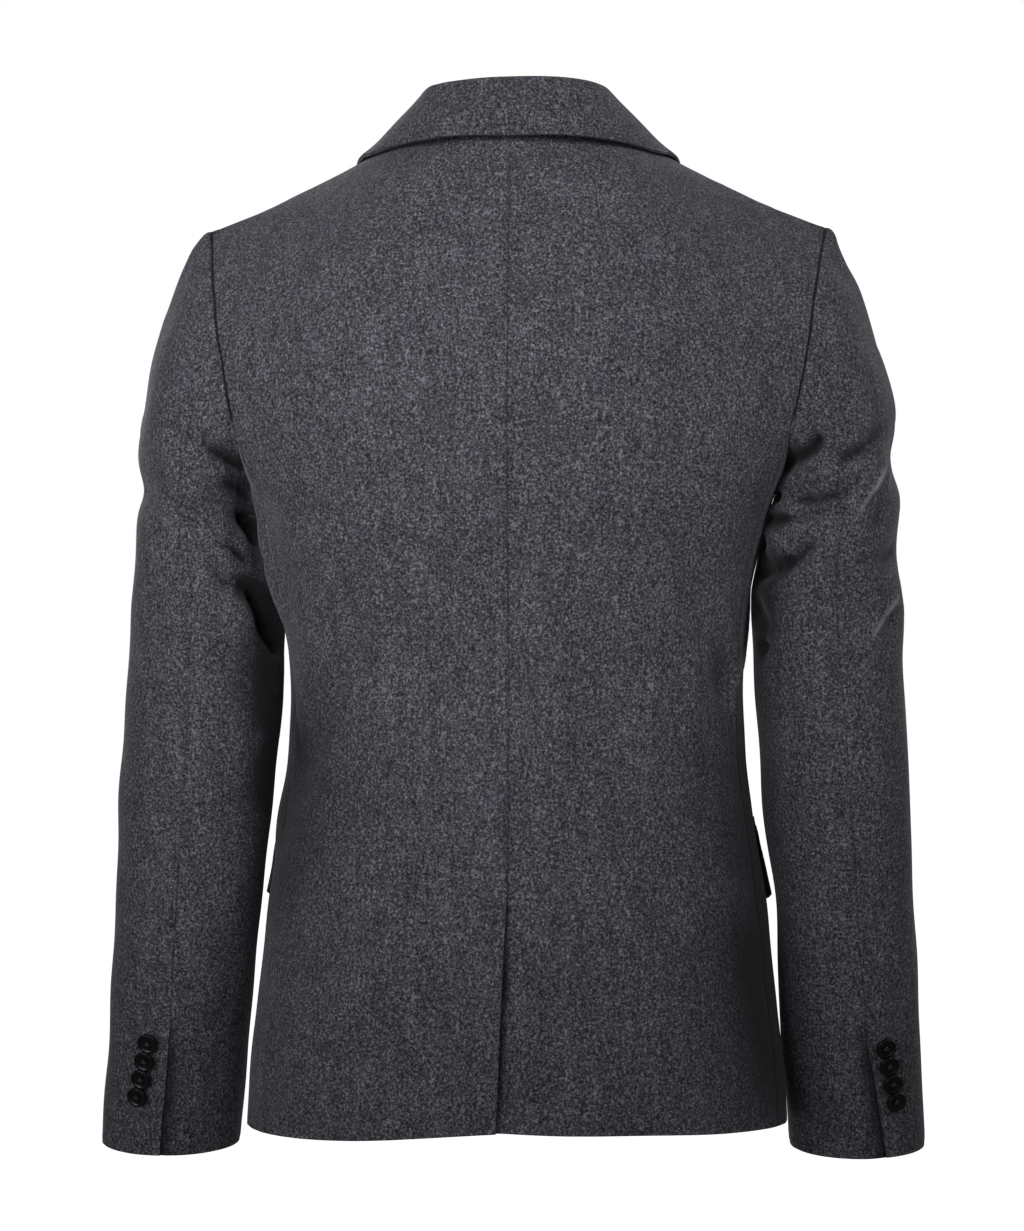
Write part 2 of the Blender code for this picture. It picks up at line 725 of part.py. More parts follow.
def side_grid(side):
    """The side body's points, from under the arm down to the hem."""
    shares = np.linspace(0, 1, SIDE_COLUMNS + 1)
    angles = BACK_SEAM + (FRONT_SEAM - BACK_SEAM) * shares
    back = edge_curve(BACK_EDGE, body_point(BACK_SEAM, CHEST), SHOULDER_POINT)
    front = edge_curve(FRONT_EDGE, body_point(FRONT_SEAM, CHEST), SHOULDER_POINT)
    rows = []
    for up in range(SIDE_ROWS, -1, -1):
        row = [
            body_point(angle, CHEST) + (underarm(share) - body_point(angle, CHEST)) * up / SIDE_ROWS
            for share, angle in zip(shares, angles)
        ]
        row[0], row[-1] = back[up], front[up]
        rows.append(row)
    per_column = []
    for angle in angles:
        heights = lower_heights(read(HEM, side, angle))[1:]
        per_column.append([body_point(angle, height) for height in heights])
    rows += [list(row) for row in zip(*per_column)]
    return np.array([[creased(point, side) for point in row] for row in rows])


def front_grid(side):
    """The front's points, from the shoulder and neck down to the hem, out to the roll line."""
    counts = range(FRONT_COLUMNS + 1)
    tops = [shoulder_point(s) for s in np.linspace(1, 0, SHOULDER_COLUMNS + 1)]
    neck_share = np.linspace(0, 1, FRONT_COLUMNS - SHOULDER_COLUMNS + 1)[1:]
    way = np.array(ROLL_TOP) - neck_point(90)
    bow = np.array(NECK_BOW)
    tops += [neck_point(90) + way * s + bow * 4 * s * (1 - s) for s in neck_share]
    start, end = FRONT_SEAM, angle_of_x(front_edge_x(CHEST), CHEST)
    angles = np.linspace(start, end, FRONT_COLUMNS + 1)
    edge = edge_curve(FRONT_EDGE, body_point(FRONT_SEAM, CHEST), SHOULDER_POINT)
    columns = rising_columns(angles, tops, FRONT_RISE)
    rows = []
    for t, edge_point in zip(upper_heights(edge)[::-1], edge[::-1]):
        height = CHEST + t * (ROLL_TOP[2] - CHEST)
        roll = np.array((front_edge_x(height), read(ROLL, "y", height), height))
        roll += (body_point(angles[-1], CHEST) - roll) * (t == 0)
        at_edge = edge_point - bezier(*columns[0], t)
        at_roll = roll - bezier(*columns[-1], t)
        row = []
        for index, column in zip(counts, columns):
            share = index / FRONT_COLUMNS
            row.append(bezier(*column, t) + at_edge * (1 - share) ** 3 + at_roll * share**3)
        rows.append(row)
    per_column = []
    for index in counts:
        share = index / FRONT_COLUMNS
        rise = CORNER_RISE * max(0.0, (share - CORNER_START) / (1 - CORNER_START)) ** 3
        bottom = read(HEM, side, FRONT_SEAM + (180 - FRONT_SEAM) * share) + rise
        column = []
        for height in lower_heights(bottom)[1:]:
            end = angle_of_x(front_edge_x(height), height)
            column.append(body_point(FRONT_SEAM + (end - FRONT_SEAM) * share, height))
        per_column.append(column)
    rows += [list(row) for row in zip(*per_column)]
    lift = LAP_LIFT if side == "left" else -LAP_LIFT
    grid = []
    for row in rows:
        raised = []
        for point in row:
            near_middle = 1 - ease((abs(point[0]) - LAP_EASE[0]) / LAP_EASE[1])
            under_break = 1.0
            if point[2] > LAP_TOP[2]:
                under_break = ease((LAP_TOP[0] - point[2]) / LAP_TOP[1])
            point = creased(point, side)
            raised.append(point + body_outward(point) * lift * near_middle * under_break)
        grid.append(raised)
    return np.array(grid)


def with_underlap(grid):
    """The right back with its vent underlap: extra columns past centre back, behind the left."""
    first_row = len(grid) - ROWS_BELOW_VENT
    extra = []
    for count in range(UNDERLAP_COLUMNS, 0, -1):
        column = []
        for row in grid:
            x = -UNDERLAP * count / UNDERLAP_COLUMNS
            height = min(row[0][2], CHEST)
            turn = -back_angle_of_x(-x, height)
            column.append(body_point(turn, height) + (0, 0, row[0][2] - height))
        extra.append(column)
    extra = np.array(extra).transpose(1, 0, 2)
    whole = np.concatenate([extra, grid], axis=1)
    for i in range(first_row, len(whole)):
        for j, point in enumerate(whole[i]):
            share = 1 - ease((point[0] - UNDERLAP_EASE[0]) / UNDERLAP_EASE[1])
            whole[i, j] = point - body_outward(point) * UNDERLAP_DROP * share
    cells = np.ones((len(whole) - 1, whole.shape[1] - 1), bool)
    cells[:first_row, :UNDERLAP_COLUMNS] = False
    return whole, cells


# ---------------------------------------------------------------- the sleeve's form


def armhole(back, front):
    """The armhole's points in order: shoulder, down the back, under the arm, up the front."""
    rows_up = len(BACK_EDGE) + 1 - SIDE_ROWS
    down_back = [back[i, -1] for i in range(rows_up + 1)]
    under = [underarm(s) for s in np.linspace(0, 1, SIDE_COLUMNS + 1)[1:-1]]
    up_front = [front[i, 0] for i in range(rows_up, 0, -1)]
    return np.array(down_back + under + up_front)


def arm_angles():
    """The angle round the arm of each of the armhole's points."""
    rows_up = len(BACK_EDGE) + 1 - SIDE_ROWS
    down_back = np.linspace(0, 120, rows_up + 1)
    under = np.linspace(120, 240, SIDE_COLUMNS + 1)[1:]
    up_front = np.linspace(240, 360, rows_up + 1)[1:-1]
    return np.concatenate([down_back, under, up_front])


def sleeve_point(side, angle, height):
    """A place on the sleeve below the arm, in the left sleeve's frame."""
    outer = read(SLEEVE_RINGS, side + "_outer", height)
    inner = read(SLEEVE_RINGS, side + "_inner", height)
    y = read(SLEEVE_AXIS, "y", height)
    half_depth = read(SLEEVE_AXIS, "half_depth", height)
    across, along = np.cos(np.radians(angle)), np.sin(np.radians(angle))
    tilt = CUFF_TILT * ease((CHEST - height) / (CHEST - SLEEVE_RINGS[0].height))
    x = (outer + inner) / 2 + (outer - inner) / 2 * across
    return np.array((x, y + half_depth * along, height - tilt * half_depth * along))


def sleeve_grid(side, loop):
    """The whole sleeve's points, one column for each armhole point, from there to the cuff."""
    angles = arm_angles()
    columns = []
    for start, angle in zip(loop, angles):
        out = unit(np.array([read(SLEEVE_HEAD, "out_" + axis, angle) for axis in "xyz"]))
        end = sleeve_point(side, angle, CHEST)
        slope = (end - sleeve_point(side, angle, CHEST - STEP_ASIDE)) / STEP_ASIDE
        handle_1 = start + out * read(SLEEVE_HEAD, "from_armhole", angle)
        handle_2 = end + slope * read(SLEEVE_HEAD, "to_chest", angle)
        column = [bezier(start, handle_1, handle_2, end, t) for t in HEAD_STEPS]
        for height in np.linspace(CHEST, SLEEVE_RINGS[0].height, SLEEVE_ROWS + 1):
            share = (CHEST - height) / (CHEST - SLEEVE_RINGS[0].height)
            turned = angle + ELBOW_TWIST[side] * ease(share)
            column.append(sleeve_point(side, turned, height))
        columns.append(column)
    grid = np.array(columns).transpose(1, 0, 2)
    ringed = np.concatenate([grid[:, -1:], grid, grid[:, :1]], axis=1)
    outward = np.cross(np.gradient(ringed, axis=0), np.gradient(ringed, axis=1))[:, 1:-1]
    outward /= np.maximum(np.linalg.norm(outward, axis=2, keepdims=True), 1e-9)
    if outward[len(grid) // 2, 0, 0] < 0:
        outward = -outward
    folds = [fold for fold in SLEEVE_FOLDS if fold.side == side]
    folded = grid.copy()
    for i, row in enumerate(grid):
        for j, point in enumerate(row):
            turn = (angles[j] + 90) % 360 - 90
            lift = sum_of_folds(folds, turn, point[2], ARM_RADIUS) * ease(i / HEAD_FOLD_ROWS)
            folded[i, j] = point + outward[i, j] * lift
    return folded


# ---------------------------------------------------------------- pieces laid on panels


def surface_tree(grids):
    """The panels' outer faces together, for laying other pieces on them."""
    points, faces = [], []
    for grid in grids:
        rows, columns = grid.shape[:2]
        base = len(points)
        points += [Vector(p) for p in grid.reshape(-1, 3)]
        for i in range(rows - 1):
            for j in range(columns - 1):
                corner = base + i * columns + j
                faces.append((corner, corner + 1, corner + columns + 1, corner + columns))
    return BVHTree.FromPolygons(points, faces)


def lifted(point, tree, gap):
    """The place moved away from the panels until it is clear of them by the gap."""
    spot, normal, _, _ = tree.find_nearest(Vector(point))
    spot, away = np.array(spot), np.array(normal)
    if away @ (spot[0], spot[1], ABOVE_SHOULDERS) < 0:
        away = -away
    clear = (point - spot) @ away
    return point + away * max(0.0, gap - clear)


def past_edge(front):
    """The front's points with one more column beyond its edge, so that the edge can be found."""
    beyond = front[:, -1:] + (front[:, -1:] - front[:, -2:-1]) * PAST_EDGE_SHARE
    return np.concatenate([front, beyond], axis=1)


def front_view_point(x, height, tree):
    """The place on the front panels straight behind a place in the front view."""
    spot, normal, _, _ = tree.ray_cast(Vector((x, -FAR, height)), Vector((0, 1, 0)))
    away = np.array(normal)
    return np.array(spot), away if away[1] < 0 else -away


def collar_section(neck, station):
    """The under face across the collar: up the stand, round the fold and down the fall."""
    fold = np.array((station.fold_x, station.fold_y, station.fold_z))
    edge = np.array((station.edge_x, station.edge_y, station.edge_z))
    out = edge - fold
    out[2] = 0
    out = unit(out)
    drop = np.array((0, 0, ROUND_FOLD * FOLD_ROUND_DROP))
    before = fold - out * ROUND_FOLD - drop
    after = fold + out * ROUND_FOLD - drop
    stand = neck + (before - neck) * STAND_SHARE - out * STAND_BOW
    fall = [after + (edge - after) * share + out * FALL_BOW for share in FALL_SHARES]
    return [neck, stand, before, fold, after, *fall, edge]


def collar_end(tree):
    """The collar's end on the front: the gorge seam to the notch, then its short edge to the tip."""
    steps = np.linspace(0, 1, 8)
    row = []
    for step in steps:
        if step <= GORGE_SHARE:
            share = step / GORGE_SHARE
            start, end = GORGE_TOP, NOTCH
        else:
            share = (step - GORGE_SHARE) / (1 - GORGE_SHARE)
            start, end = NOTCH, COLLAR_TIP
        x, height = np.array(start) + (np.array(end) - np.array(start)) * share
        spot, away = front_view_point(x, height, tree)
        row.append(spot + away * FALL_GAP)
    return row


def collar_half(side, back, front):
    """One half of the collar, from centre back to its end, as on the left."""
    tree = surface_tree([back, past_edge(front)])
    necks = [back[0, j] for j in range(NECK_COLUMNS + 1)]
    necks += [front[0, SHOULDER_COLUMNS + j] for j in range(1, len(COLLAR_FRONT) + 1)]
    necks[-1] = necks[-1] + np.array(COLLAR_LEAVES_NECK)
    sections = []
    for neck, station in zip(necks, COLLAR_BACK + COLLAR_FRONT):
        rise = COLLAR_TILT * station.fold_x * (-1 if side == "left" else 1)
        section = collar_section(neck, station._replace(fold_z=station.fold_z + rise))
        sections.append(section[:5] + [lifted(p, tree, FALL_GAP) for p in section[5:]])
    end = collar_end(tree)
    last = sections[-1]
    for count in range(1, COLLAR_END_STATIONS + 1):
        share = count / (COLLAR_END_STATIONS + 1)
        between = [a + (b - a) * share for a, b in zip(last, end)]
        stands = FALL_GAP + COLLAR_ROLL_LIFT * (1 - share) * np.linspace(1, 0, len(end))
        sections.append([lifted(p, tree, stand) for p, stand in zip(between, stands)])
    sections.append(end)
    return np.array(sections)


def lapel_start(side, height):
    """Where the lapel starts: the roll line, or where it comes out from under the left front."""
    roll_x = front_edge_x(height)
    return max(roll_x, COVER_MARGIN - roll_x) if side == "right" else roll_x


def lapel_grid(side, tree):
    """The lapel's under face, laid on the front from its start out to its edge."""
    lowest = LAPEL[0].roll_height
    while read(LAPEL, "edge_x", lowest) - lapel_start(side, lowest) < LEAST_LAPEL:
        lowest += 1.0
    rows = []
    for roll_height in np.linspace(lowest, LAPEL[-1].roll_height, LAPEL_ROWS + 1):
        edge_x = read(LAPEL, "edge_x", roll_height)
        edge_height = read(LAPEL, "edge_height", roll_height)
        roll_x = front_edge_x(roll_height)
        first_share = (lapel_start(side, roll_height) - roll_x) / (edge_x - roll_x)
        row = []
        for share in np.linspace(first_share, 1, LAPEL_COLUMNS + 1):
            x = roll_x + (edge_x - roll_x) * share
            height = roll_height + (edge_height - roll_height) * share
            spot, away = front_view_point(x, height, tree)
            width = edge_x - roll_x
            stand = LAPEL_ROLL_LIFT * (1 - share) ** 2 * min(1.0, width / WHOLE_LIFT_WIDTH)
            row.append(spot + away * (LAPEL_GAP + stand))
        rows.append(row)
    return np.array(rows)


def pocket_grid(side, heights_and_stands):
    """A piece laid round the hip along the pocket: each row has its heights and its stand-offs."""
    angles = np.linspace(FLAP_REAR, FLAP_FRONT, FLAP_COLUMNS + 1)
    rows = []
    for heights, stands in heights_and_stands:
        points = [body_point(angle, height) for angle, height in zip(angles, heights)]
        rows.append([creased(p, side) + body_outward(p) * s for p, s in zip(points, stands)])
    return np.array(rows)


def pocket_flap(side):
    """The flap's under face."""
    shares = np.linspace(0, 1, FLAP_COLUMNS + 1)
    front_corner = FLAP_CORNER * np.clip(1 - (1 - shares) / FLAP_CORNER_SHARE, 0, 1) ** 2
    rear_corner = FLAP_REAR_CORNER * np.clip(1 - shares / FLAP_CORNER_SHARE, 0, 1) ** 2
    rows = []
    for down in np.linspace(0, 1, FLAP_ROWS + 1):
        heights = FLAP_TOP - (FLAP_DEPTH - front_corner - rear_corner) * down
        stands = LAID_GAP + (FLAP_STAND[side] * (1 - shares) ** 2 + FLAP_LIFT) * down
        rows.append((heights, stands))
    return pocket_grid(side, rows)


def pocket_welt(side):
    """The narrow jet over the flap."""
    level = np.ones(FLAP_COLUMNS + 1)
    bottom = FLAP_TOP + SEAM_GAP
    rows = [
        ((bottom + WELT_HEIGHT) * level, LAID_GAP * level),
        (bottom * level, LAID_GAP * level),
    ]
    return pocket_grid(side, rows)


# ---------------------------------------------------------------- buttons


def button(name, size, seat, away, up, tilt, material):
    """A turned button with a raised rim, seated on the cloth by its thread shank."""
    inner_rim = size.radius - size.rim_width
    profile = (
        (size.radius * FOOT_SHARE, 0.0),
        (size.radius, size.thickness * FOOT_LEVEL),
        (size.radius, size.thickness * SIDE_LEVEL),
        (size.radius - size.rim_width / 2, size.thickness),
        (inner_rim, size.thickness - size.dish),
    )
    mesh = bmesh.new()
    rings = []
    for radius, level in profile:
        turns = np.arange(size.sides) * 2 * np.pi / size.sides
        ring = [
            mesh.verts.new((radius * np.cos(turn) * MM, radius * np.sin(turn) * MM, level * MM))
            for turn in turns
        ]
        rings.append(ring)
    for low, high in zip(rings, rings[1:]):
        for k in range(size.sides):
            after = (k + 1) % size.sides
            mesh.faces.new((low[k], low[after], high[after], high[k]))
    mesh.faces.new(rings[-1])
    mesh.faces.new(list(reversed(rings[0])))
    away, up = Vector(away).normalized(), Vector(up)
    across = up.cross(away).normalized()
    up = away.cross(across)
    turn = Matrix((across, up, away)).transposed()
    turn = Matrix.Rotation(np.radians(tilt), 3, across) @ turn
    lowest = size.radius * np.sin(np.radians(abs(tilt))) + SHANK
    thing = as_object(name, mesh, material)
    thing.matrix_world = Matrix.Translation((Vector(seat) + away * lowest) * MM) @ turn.to_4x4()
    return thing


# ---------------------------------------------------------------- the blazer


def build_body(side):
    """The grids of one side's back, side body and front, and the sleeve's."""
    back, middle, front = back_grid(side), side_grid(side), front_grid(side)
    sleeve = sleeve_grid(side, armhole(back, front))
    return back, middle, front, sleeve


def sleeve_halves(side, sleeve):
    """The top sleeve goes over the arm between the two seams, and the under sleeve the other way."""
    count = sleeve.shape[1]
    over = [k % count for k in range(FOREARM_SEAM_POINT, count + ELBOW_SEAM_POINT + 1)]
    under = list(range(ELBOW_SEAM_POINT, FOREARM_SEAM_POINT + 1))
    middle = len(sleeve) // 2
    outside = mirrored((1, 0, 0), side)
    top = Cloth(
        "top_sleeve_" + side,
        mirrored(sleeve[:, over], side),
        ((middle, count - FOREARM_SEAM_POINT), outside),
    )
    bottom = Cloth(
        "under_sleeve_" + side,
        mirrored(sleeve[:, under], side),
        ((middle, len(under) // 2), -outside),
    )
    return [top, bottom]


def cuff_buttons(side, material):
    """The buttons up the top sleeve beside the elbow seam."""
    for count, angle in enumerate(np.linspace(*CUFF_BUTTON_ANGLES[side], CUFF_BUTTON_COUNT)):
        level = CUFF_BUTTON_TOP - count * CUFF_BUTTON_PITCH
        seat = sleeve_point(side, angle, level)
        beside = sleeve_point(side, angle + STEP_ASIDE, level)
        above = sleeve_point(side, angle, level + STEP_ASIDE)
        around, along = beside - seat, above - seat
        away = np.cross(around, along)
        away *= np.sign(away[0])
        button(
            "cuff_button_%s_%d" % (side, count + 1),
            CUFF_BUTTON,
            mirrored(seat, side),
            mirrored(away, side),
            mirrored(along, side),
            CUFF_BUTTON_TILT,
            material,
        )


def build():
    flannel = material_of("charcoal_flannel", FLANNEL, 0.92)
    horn = material_of("black_button", HORN, 0.22)
    pieces = []
    laid = []
    halves = {}
    for side in ("left", "right"):
        back, middle, front, sleeve = build_body(side)
        halves[side] = back, front
        tree = surface_tree([past_edge(front)])
        cells = None
        first = 0
        panel = back
        if side == "right":
            panel, cells = with_underlap(back)
            first = UNDERLAP_COLUMNS
        outside = mirrored((1, 0, 0), side)
        pieces.append(
            Cloth("back_" + side, mirrored(panel, side), ((12, first + 2), (0, 1, 0)), cells)
        )
        pieces.append(Cloth("side_" + side, mirrored(middle, side), ((8, 3), outside)))
        pieces.append(Cloth("front_" + side, mirrored(front, side), ((12, 5), (0, -1, 0))))
        pieces += sleeve_halves(side, sleeve)
        lapel = mirrored(lapel_grid(side, tree), side)
        laid.append(Cloth("lapel_" + side, lapel, ((4, 2), (0, 1, 0))))
        flap = mirrored(pocket_flap(side), side)
        laid.append(Cloth("flap_" + side, flap, ((2, 2), -outside)))
        welt = mirrored(pocket_welt(side), side)
        laid.append(Cloth("welt_" + side, welt, ((0, 2), -outside), thickness=WELT_CLOTH))
        cuff_buttons(side, horn)
    left_half = collar_half("left", *halves["left"])
    right_half = mirrored(collar_half("right", *halves["right"]), "right")
    collar = np.concatenate([right_half[:0:-1], left_half])
    middle_station = len(right_half) - 1
    pieces.append(
        Cloth("collar", collar, ((middle_station, 1), (0, 1, 0)), thickness=COLLAR_CLOTH)
    )
    sew(pieces)
    for piece in pieces + laid:
        wall(piece, flannel)
    for count, height in enumerate(FRONT_BUTTON_HEIGHTS, 1):
        seat = body_point(180.0, height) + np.array((0.0, -LAP_LIFT, 0.0))
        button("front_button_%d" % count, FRONT_BUTTON, seat, (0, -1, 0), (0, 0, 1), 0.0, horn)


build()
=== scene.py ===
"""Looks of a single breasted blazer in charcoal wool flannel, worn shape, hollow.

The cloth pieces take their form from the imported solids: each is made finer, pressed into
creases and given its nap. Metres in the frame's axes: +Z up, the front faces -Y, the
wearer's left is +X. Crease tables are in millimetres and degrees.
"""

import math
from collections import namedtuple

import bmesh
import bpy
import numpy as np
from mathutils import Matrix, Vector
from mathutils.bvhtree import BVHTree
from mathutils.kdtree import KDTree


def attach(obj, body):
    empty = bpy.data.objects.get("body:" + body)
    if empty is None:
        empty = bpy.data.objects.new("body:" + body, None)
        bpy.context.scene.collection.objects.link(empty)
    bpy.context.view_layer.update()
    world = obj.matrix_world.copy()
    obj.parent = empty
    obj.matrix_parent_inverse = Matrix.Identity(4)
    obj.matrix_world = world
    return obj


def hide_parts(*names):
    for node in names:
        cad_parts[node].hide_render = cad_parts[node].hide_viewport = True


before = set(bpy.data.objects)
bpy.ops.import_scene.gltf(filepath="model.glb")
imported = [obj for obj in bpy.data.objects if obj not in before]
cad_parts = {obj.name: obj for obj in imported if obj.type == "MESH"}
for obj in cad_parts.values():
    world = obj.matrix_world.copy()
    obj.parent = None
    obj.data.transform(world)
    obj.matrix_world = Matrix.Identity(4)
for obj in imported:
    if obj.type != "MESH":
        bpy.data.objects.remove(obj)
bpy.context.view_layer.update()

# ------------------------------------------------------------------ back, two panels
# The back is cut in two and joined by the centre back seam, which opens into a vent below
# the waist. It is milled wool flannel: black, grey and a few pale fibres spun together, so
# the cloth is speckled, with a short nap that hides its weave.

MM = 0.001


class Signal:
    """The value at one socket of a shader, which arithmetic joins to others by Math nodes."""

    def __init__(self, finish, socket):
        self.finish = finish
        self.socket = socket

    def math(self, operation, *values):
        return self.finish.add("Math", {"operation": operation}, dict(enumerate(values)))

    def __add__(self, other):
        return self.math("ADD", self, other)

    def __radd__(self, other):
        return self.math("ADD", other, self)

    def __sub__(self, other):
        return self.math("SUBTRACT", self, other)

    def __rsub__(self, other):
        return self.math("SUBTRACT", other, self)

    def __mul__(self, other):
        return self.math("MULTIPLY", self, other)

    def __rmul__(self, other):
        return self.math("MULTIPLY", other, self)

    def between(self, low, high):
        """0 below low and 1 above high, smooth on the way."""
        settings = {"interpolation_type": "SMOOTHSTEP"}
        return self.finish.add("MapRange", settings, {"Value": self, 1: low, 2: high})


class Finish:
    """A material that grows by one node at a time."""

    def __init__(self, name):
        self.material = bpy.data.materials.new(name)
        self.material.use_nodes = True
        self.tree = self.material.node_tree
        self.tree.nodes.clear()

    def add(self, kind, settings, values, output=0):
        """Adds a node: its type, its settings, and the values or links of its sockets."""
        node = self.tree.nodes.new("ShaderNode" + kind)
        for name, setting in settings.items():
            setattr(node, name, setting)
        for name, value in values.items():
            if isinstance(value, Signal):
                self.tree.links.new(value.socket, node.inputs[name])
            else:
                node.inputs[name].default_value = value
        return Signal(self, node.outputs[output])

    def noise(self, place, scale, detail=2.0, roughness=0.5):
        values = {"Vector": place, "Scale": scale, "Detail": detail, "Roughness": roughness}
        return self.add("TexNoise", {}, values)

    def stretch(self, place, amounts):
        return self.add("Mapping", {}, {"Vector": place, "Scale": amounts})

    def blend(self, share, first, second):
        """From one colour to another."""
        return self.add("Mix", {"data_type": "RGBA"}, {"Factor": share, 6: first, 7: second}, 2)

    def done(self, shader):
        output = self.tree.nodes.new("ShaderNodeOutputMaterial")
        self.tree.links.new(shader.socket, output.inputs["Surface"])
        return self.material


BLACK_WOOL = (0.0082, 0.0082, 0.0100, 1.0)
GREY_WOOL = (0.0505, 0.0490, 0.0585, 1.0)
PALE_WOOL = (0.1690, 0.1650, 0.1930, 1.0)
SEAM_AND_SHADE_BLACK = (0.0022, 0.0022, 0.0028, 1.0)
BLUE_TINT = (0.024, 0.028, 0.046, 1.0)
RUST_TINT = (0.044, 0.030, 0.030, 1.0)
YARN = 620.0  # noise per metre of the speckle that shows from a step away
FIBRE = 1500.0
BAND = 120.0  # faint uneven bands along the warp
CLOUD = 28.0
TINT = 55.0
STITCH = 420.0  # a seam's thread shows in short dashes
PAINTED_CREASE_SHADE = 0.95  # how dark the painted shade is in a deep crease, in the cuff slit and under the arms
RIDGE_WEAR_AND_HIGHLIGHT = 0.85  # how much paler a sharp ridge is painted: partly wear on the nap, partly a painted highlight


def flannel():
    cloth = Finish("charcoal_wool_flannel")
    place = cloth.add("TexCoord", {}, {}, "Object")
    along_warp = cloth.stretch(place, (1.0, 1.0, 0.12))
    yarn = cloth.noise(place, YARN, 2.0, 0.6)
    fibre = cloth.noise(place, FIBRE, 1.0)
    band = cloth.noise(along_warp, BAND, 2.0)
    cloud = cloth.noise(place, CLOUD, 3.0)
    tint = cloth.noise(cloth.stretch(place, (1.0, 1.0, 0.6)), TINT, 2.0)
    streak = cloth.noise(cloth.stretch(place, (1.0, 1.0, 0.35)), YARN, 1.0)
    speckle = yarn + (fibre - 0.5) * 0.35 + (streak - 0.5) * 0.25
    speckle = speckle + (band - 0.5) * 0.12 + (cloud - 0.5) * 0.06
    dark_to_grey = cloth.blend(speckle.between(0.30, 0.58), BLACK_WOOL, GREY_WOOL)
    wool = cloth.blend(speckle.between(0.50, 0.80), dark_to_grey, PALE_WOOL)
    wool = cloth.blend(tint.between(0.58, 0.78) * 0.24, wool, BLUE_TINT)
    wool = cloth.blend((1.0 - tint).between(0.60, 0.80) * 0.20, wool, RUST_TINT)
    reach = cloth.add("Attribute", {"attribute_name": "reach"}, {}, 2)
    seam_and_contact_mark = cloth.add("Attribute", {"attribute_name": "seam_and_contact_mark"}, {}, 2)
    painted_shade_and_highlight = cloth.add("Attribute", {"attribute_name": "painted_shade_and_highlight"}, {}, 2)
    stitch = cloth.noise(place, STITCH, 0.0).between(0.36, 0.56)
    # Seams are drawn as a dark line; where a cut edge only lies on another piece, as the collar's
    # fall, lapels and flaps do, the line is painted contact shade.
    seam_and_contact_shade = seam_and_contact_mark * (1.0 - reach.between(0.15, 0.75 + seam_and_contact_mark * 0.95))
    seam_and_contact_shade = seam_and_contact_shade * (1.0 - (1.0 - stitch) * (1.2 - seam_and_contact_mark) * 0.6)
    # Sharp ridges are painted paler: partly wear on the nap, partly a painted highlight.
    wool = cloth.blend((0.0 - painted_shade_and_highlight).between(0.15, 1.0) * RIDGE_WEAR_AND_HIGHLIGHT, wool, PALE_WOOL)
    # Creases, the cuff slit's lap and the sides under the arms are painted in shade, darker the
    # deeper the crease.
    wool = cloth.blend(painted_shade_and_highlight.between(0.0, 1.0) * PAINTED_CREASE_SHADE, wool, SEAM_AND_SHADE_BLACK)
    wool = cloth.blend(seam_and_contact_shade, wool, SEAM_AND_SHADE_BLACK)
    height = yarn * 0.6 + fibre * 0.4
    nap = cloth.add("Bump", {}, {"Strength": 0.55, "Distance": 0.0007, "Height": height})
    values = {
        "Base Color": wool,
        "Roughness": 0.92,
        "Specular IOR Level": 0.18,
        "Sheen Weight": 0.12,
        "Sheen Roughness": 0.5,
        "Sheen Tint": (0.75, 0.77, 0.85, 1.0),
        "Normal": nap,
    }
    return cloth.done(cloth.add("BsdfPrincipled", {}, values))


wool_flannel = flannel()

WELD = 0.02 * MM
WALL_DEPTH = 4.5 * MM  # a face with more cloth than this behind it is a cut edge,
OPPOSED = -0.5  # and so is one whose far side doesn't face the other way
PROBE = 0.1 * MM
FOLDED_CORNER = math.radians(35)
EDGE_ROUND = 0.38 * MM
FINENESS = 3  # times that the solid's faces are divided
HOLDING_ROUNDS = 3  # smoothing rounds the form off, so its points are first moved out by as much
SEAM_DRAW = 0.20 * MM  # each cut edge grows by this, which closes the seams


def only(piece):
    """Selects one piece alone."""
    bpy.ops.object.select_all(action="DESELECT")
    piece.select_set(True)
    bpy.context.view_layer.objects.active = piece


def read_points(piece):
    points = np.empty(len(piece.data.vertices) * 3)
    piece.data.vertices.foreach_get("co", points)
    return points.reshape(-1, 3)


def write_points(piece, points):
    piece.data.vertices.foreach_set("co", points.ravel())
    piece.data.update()


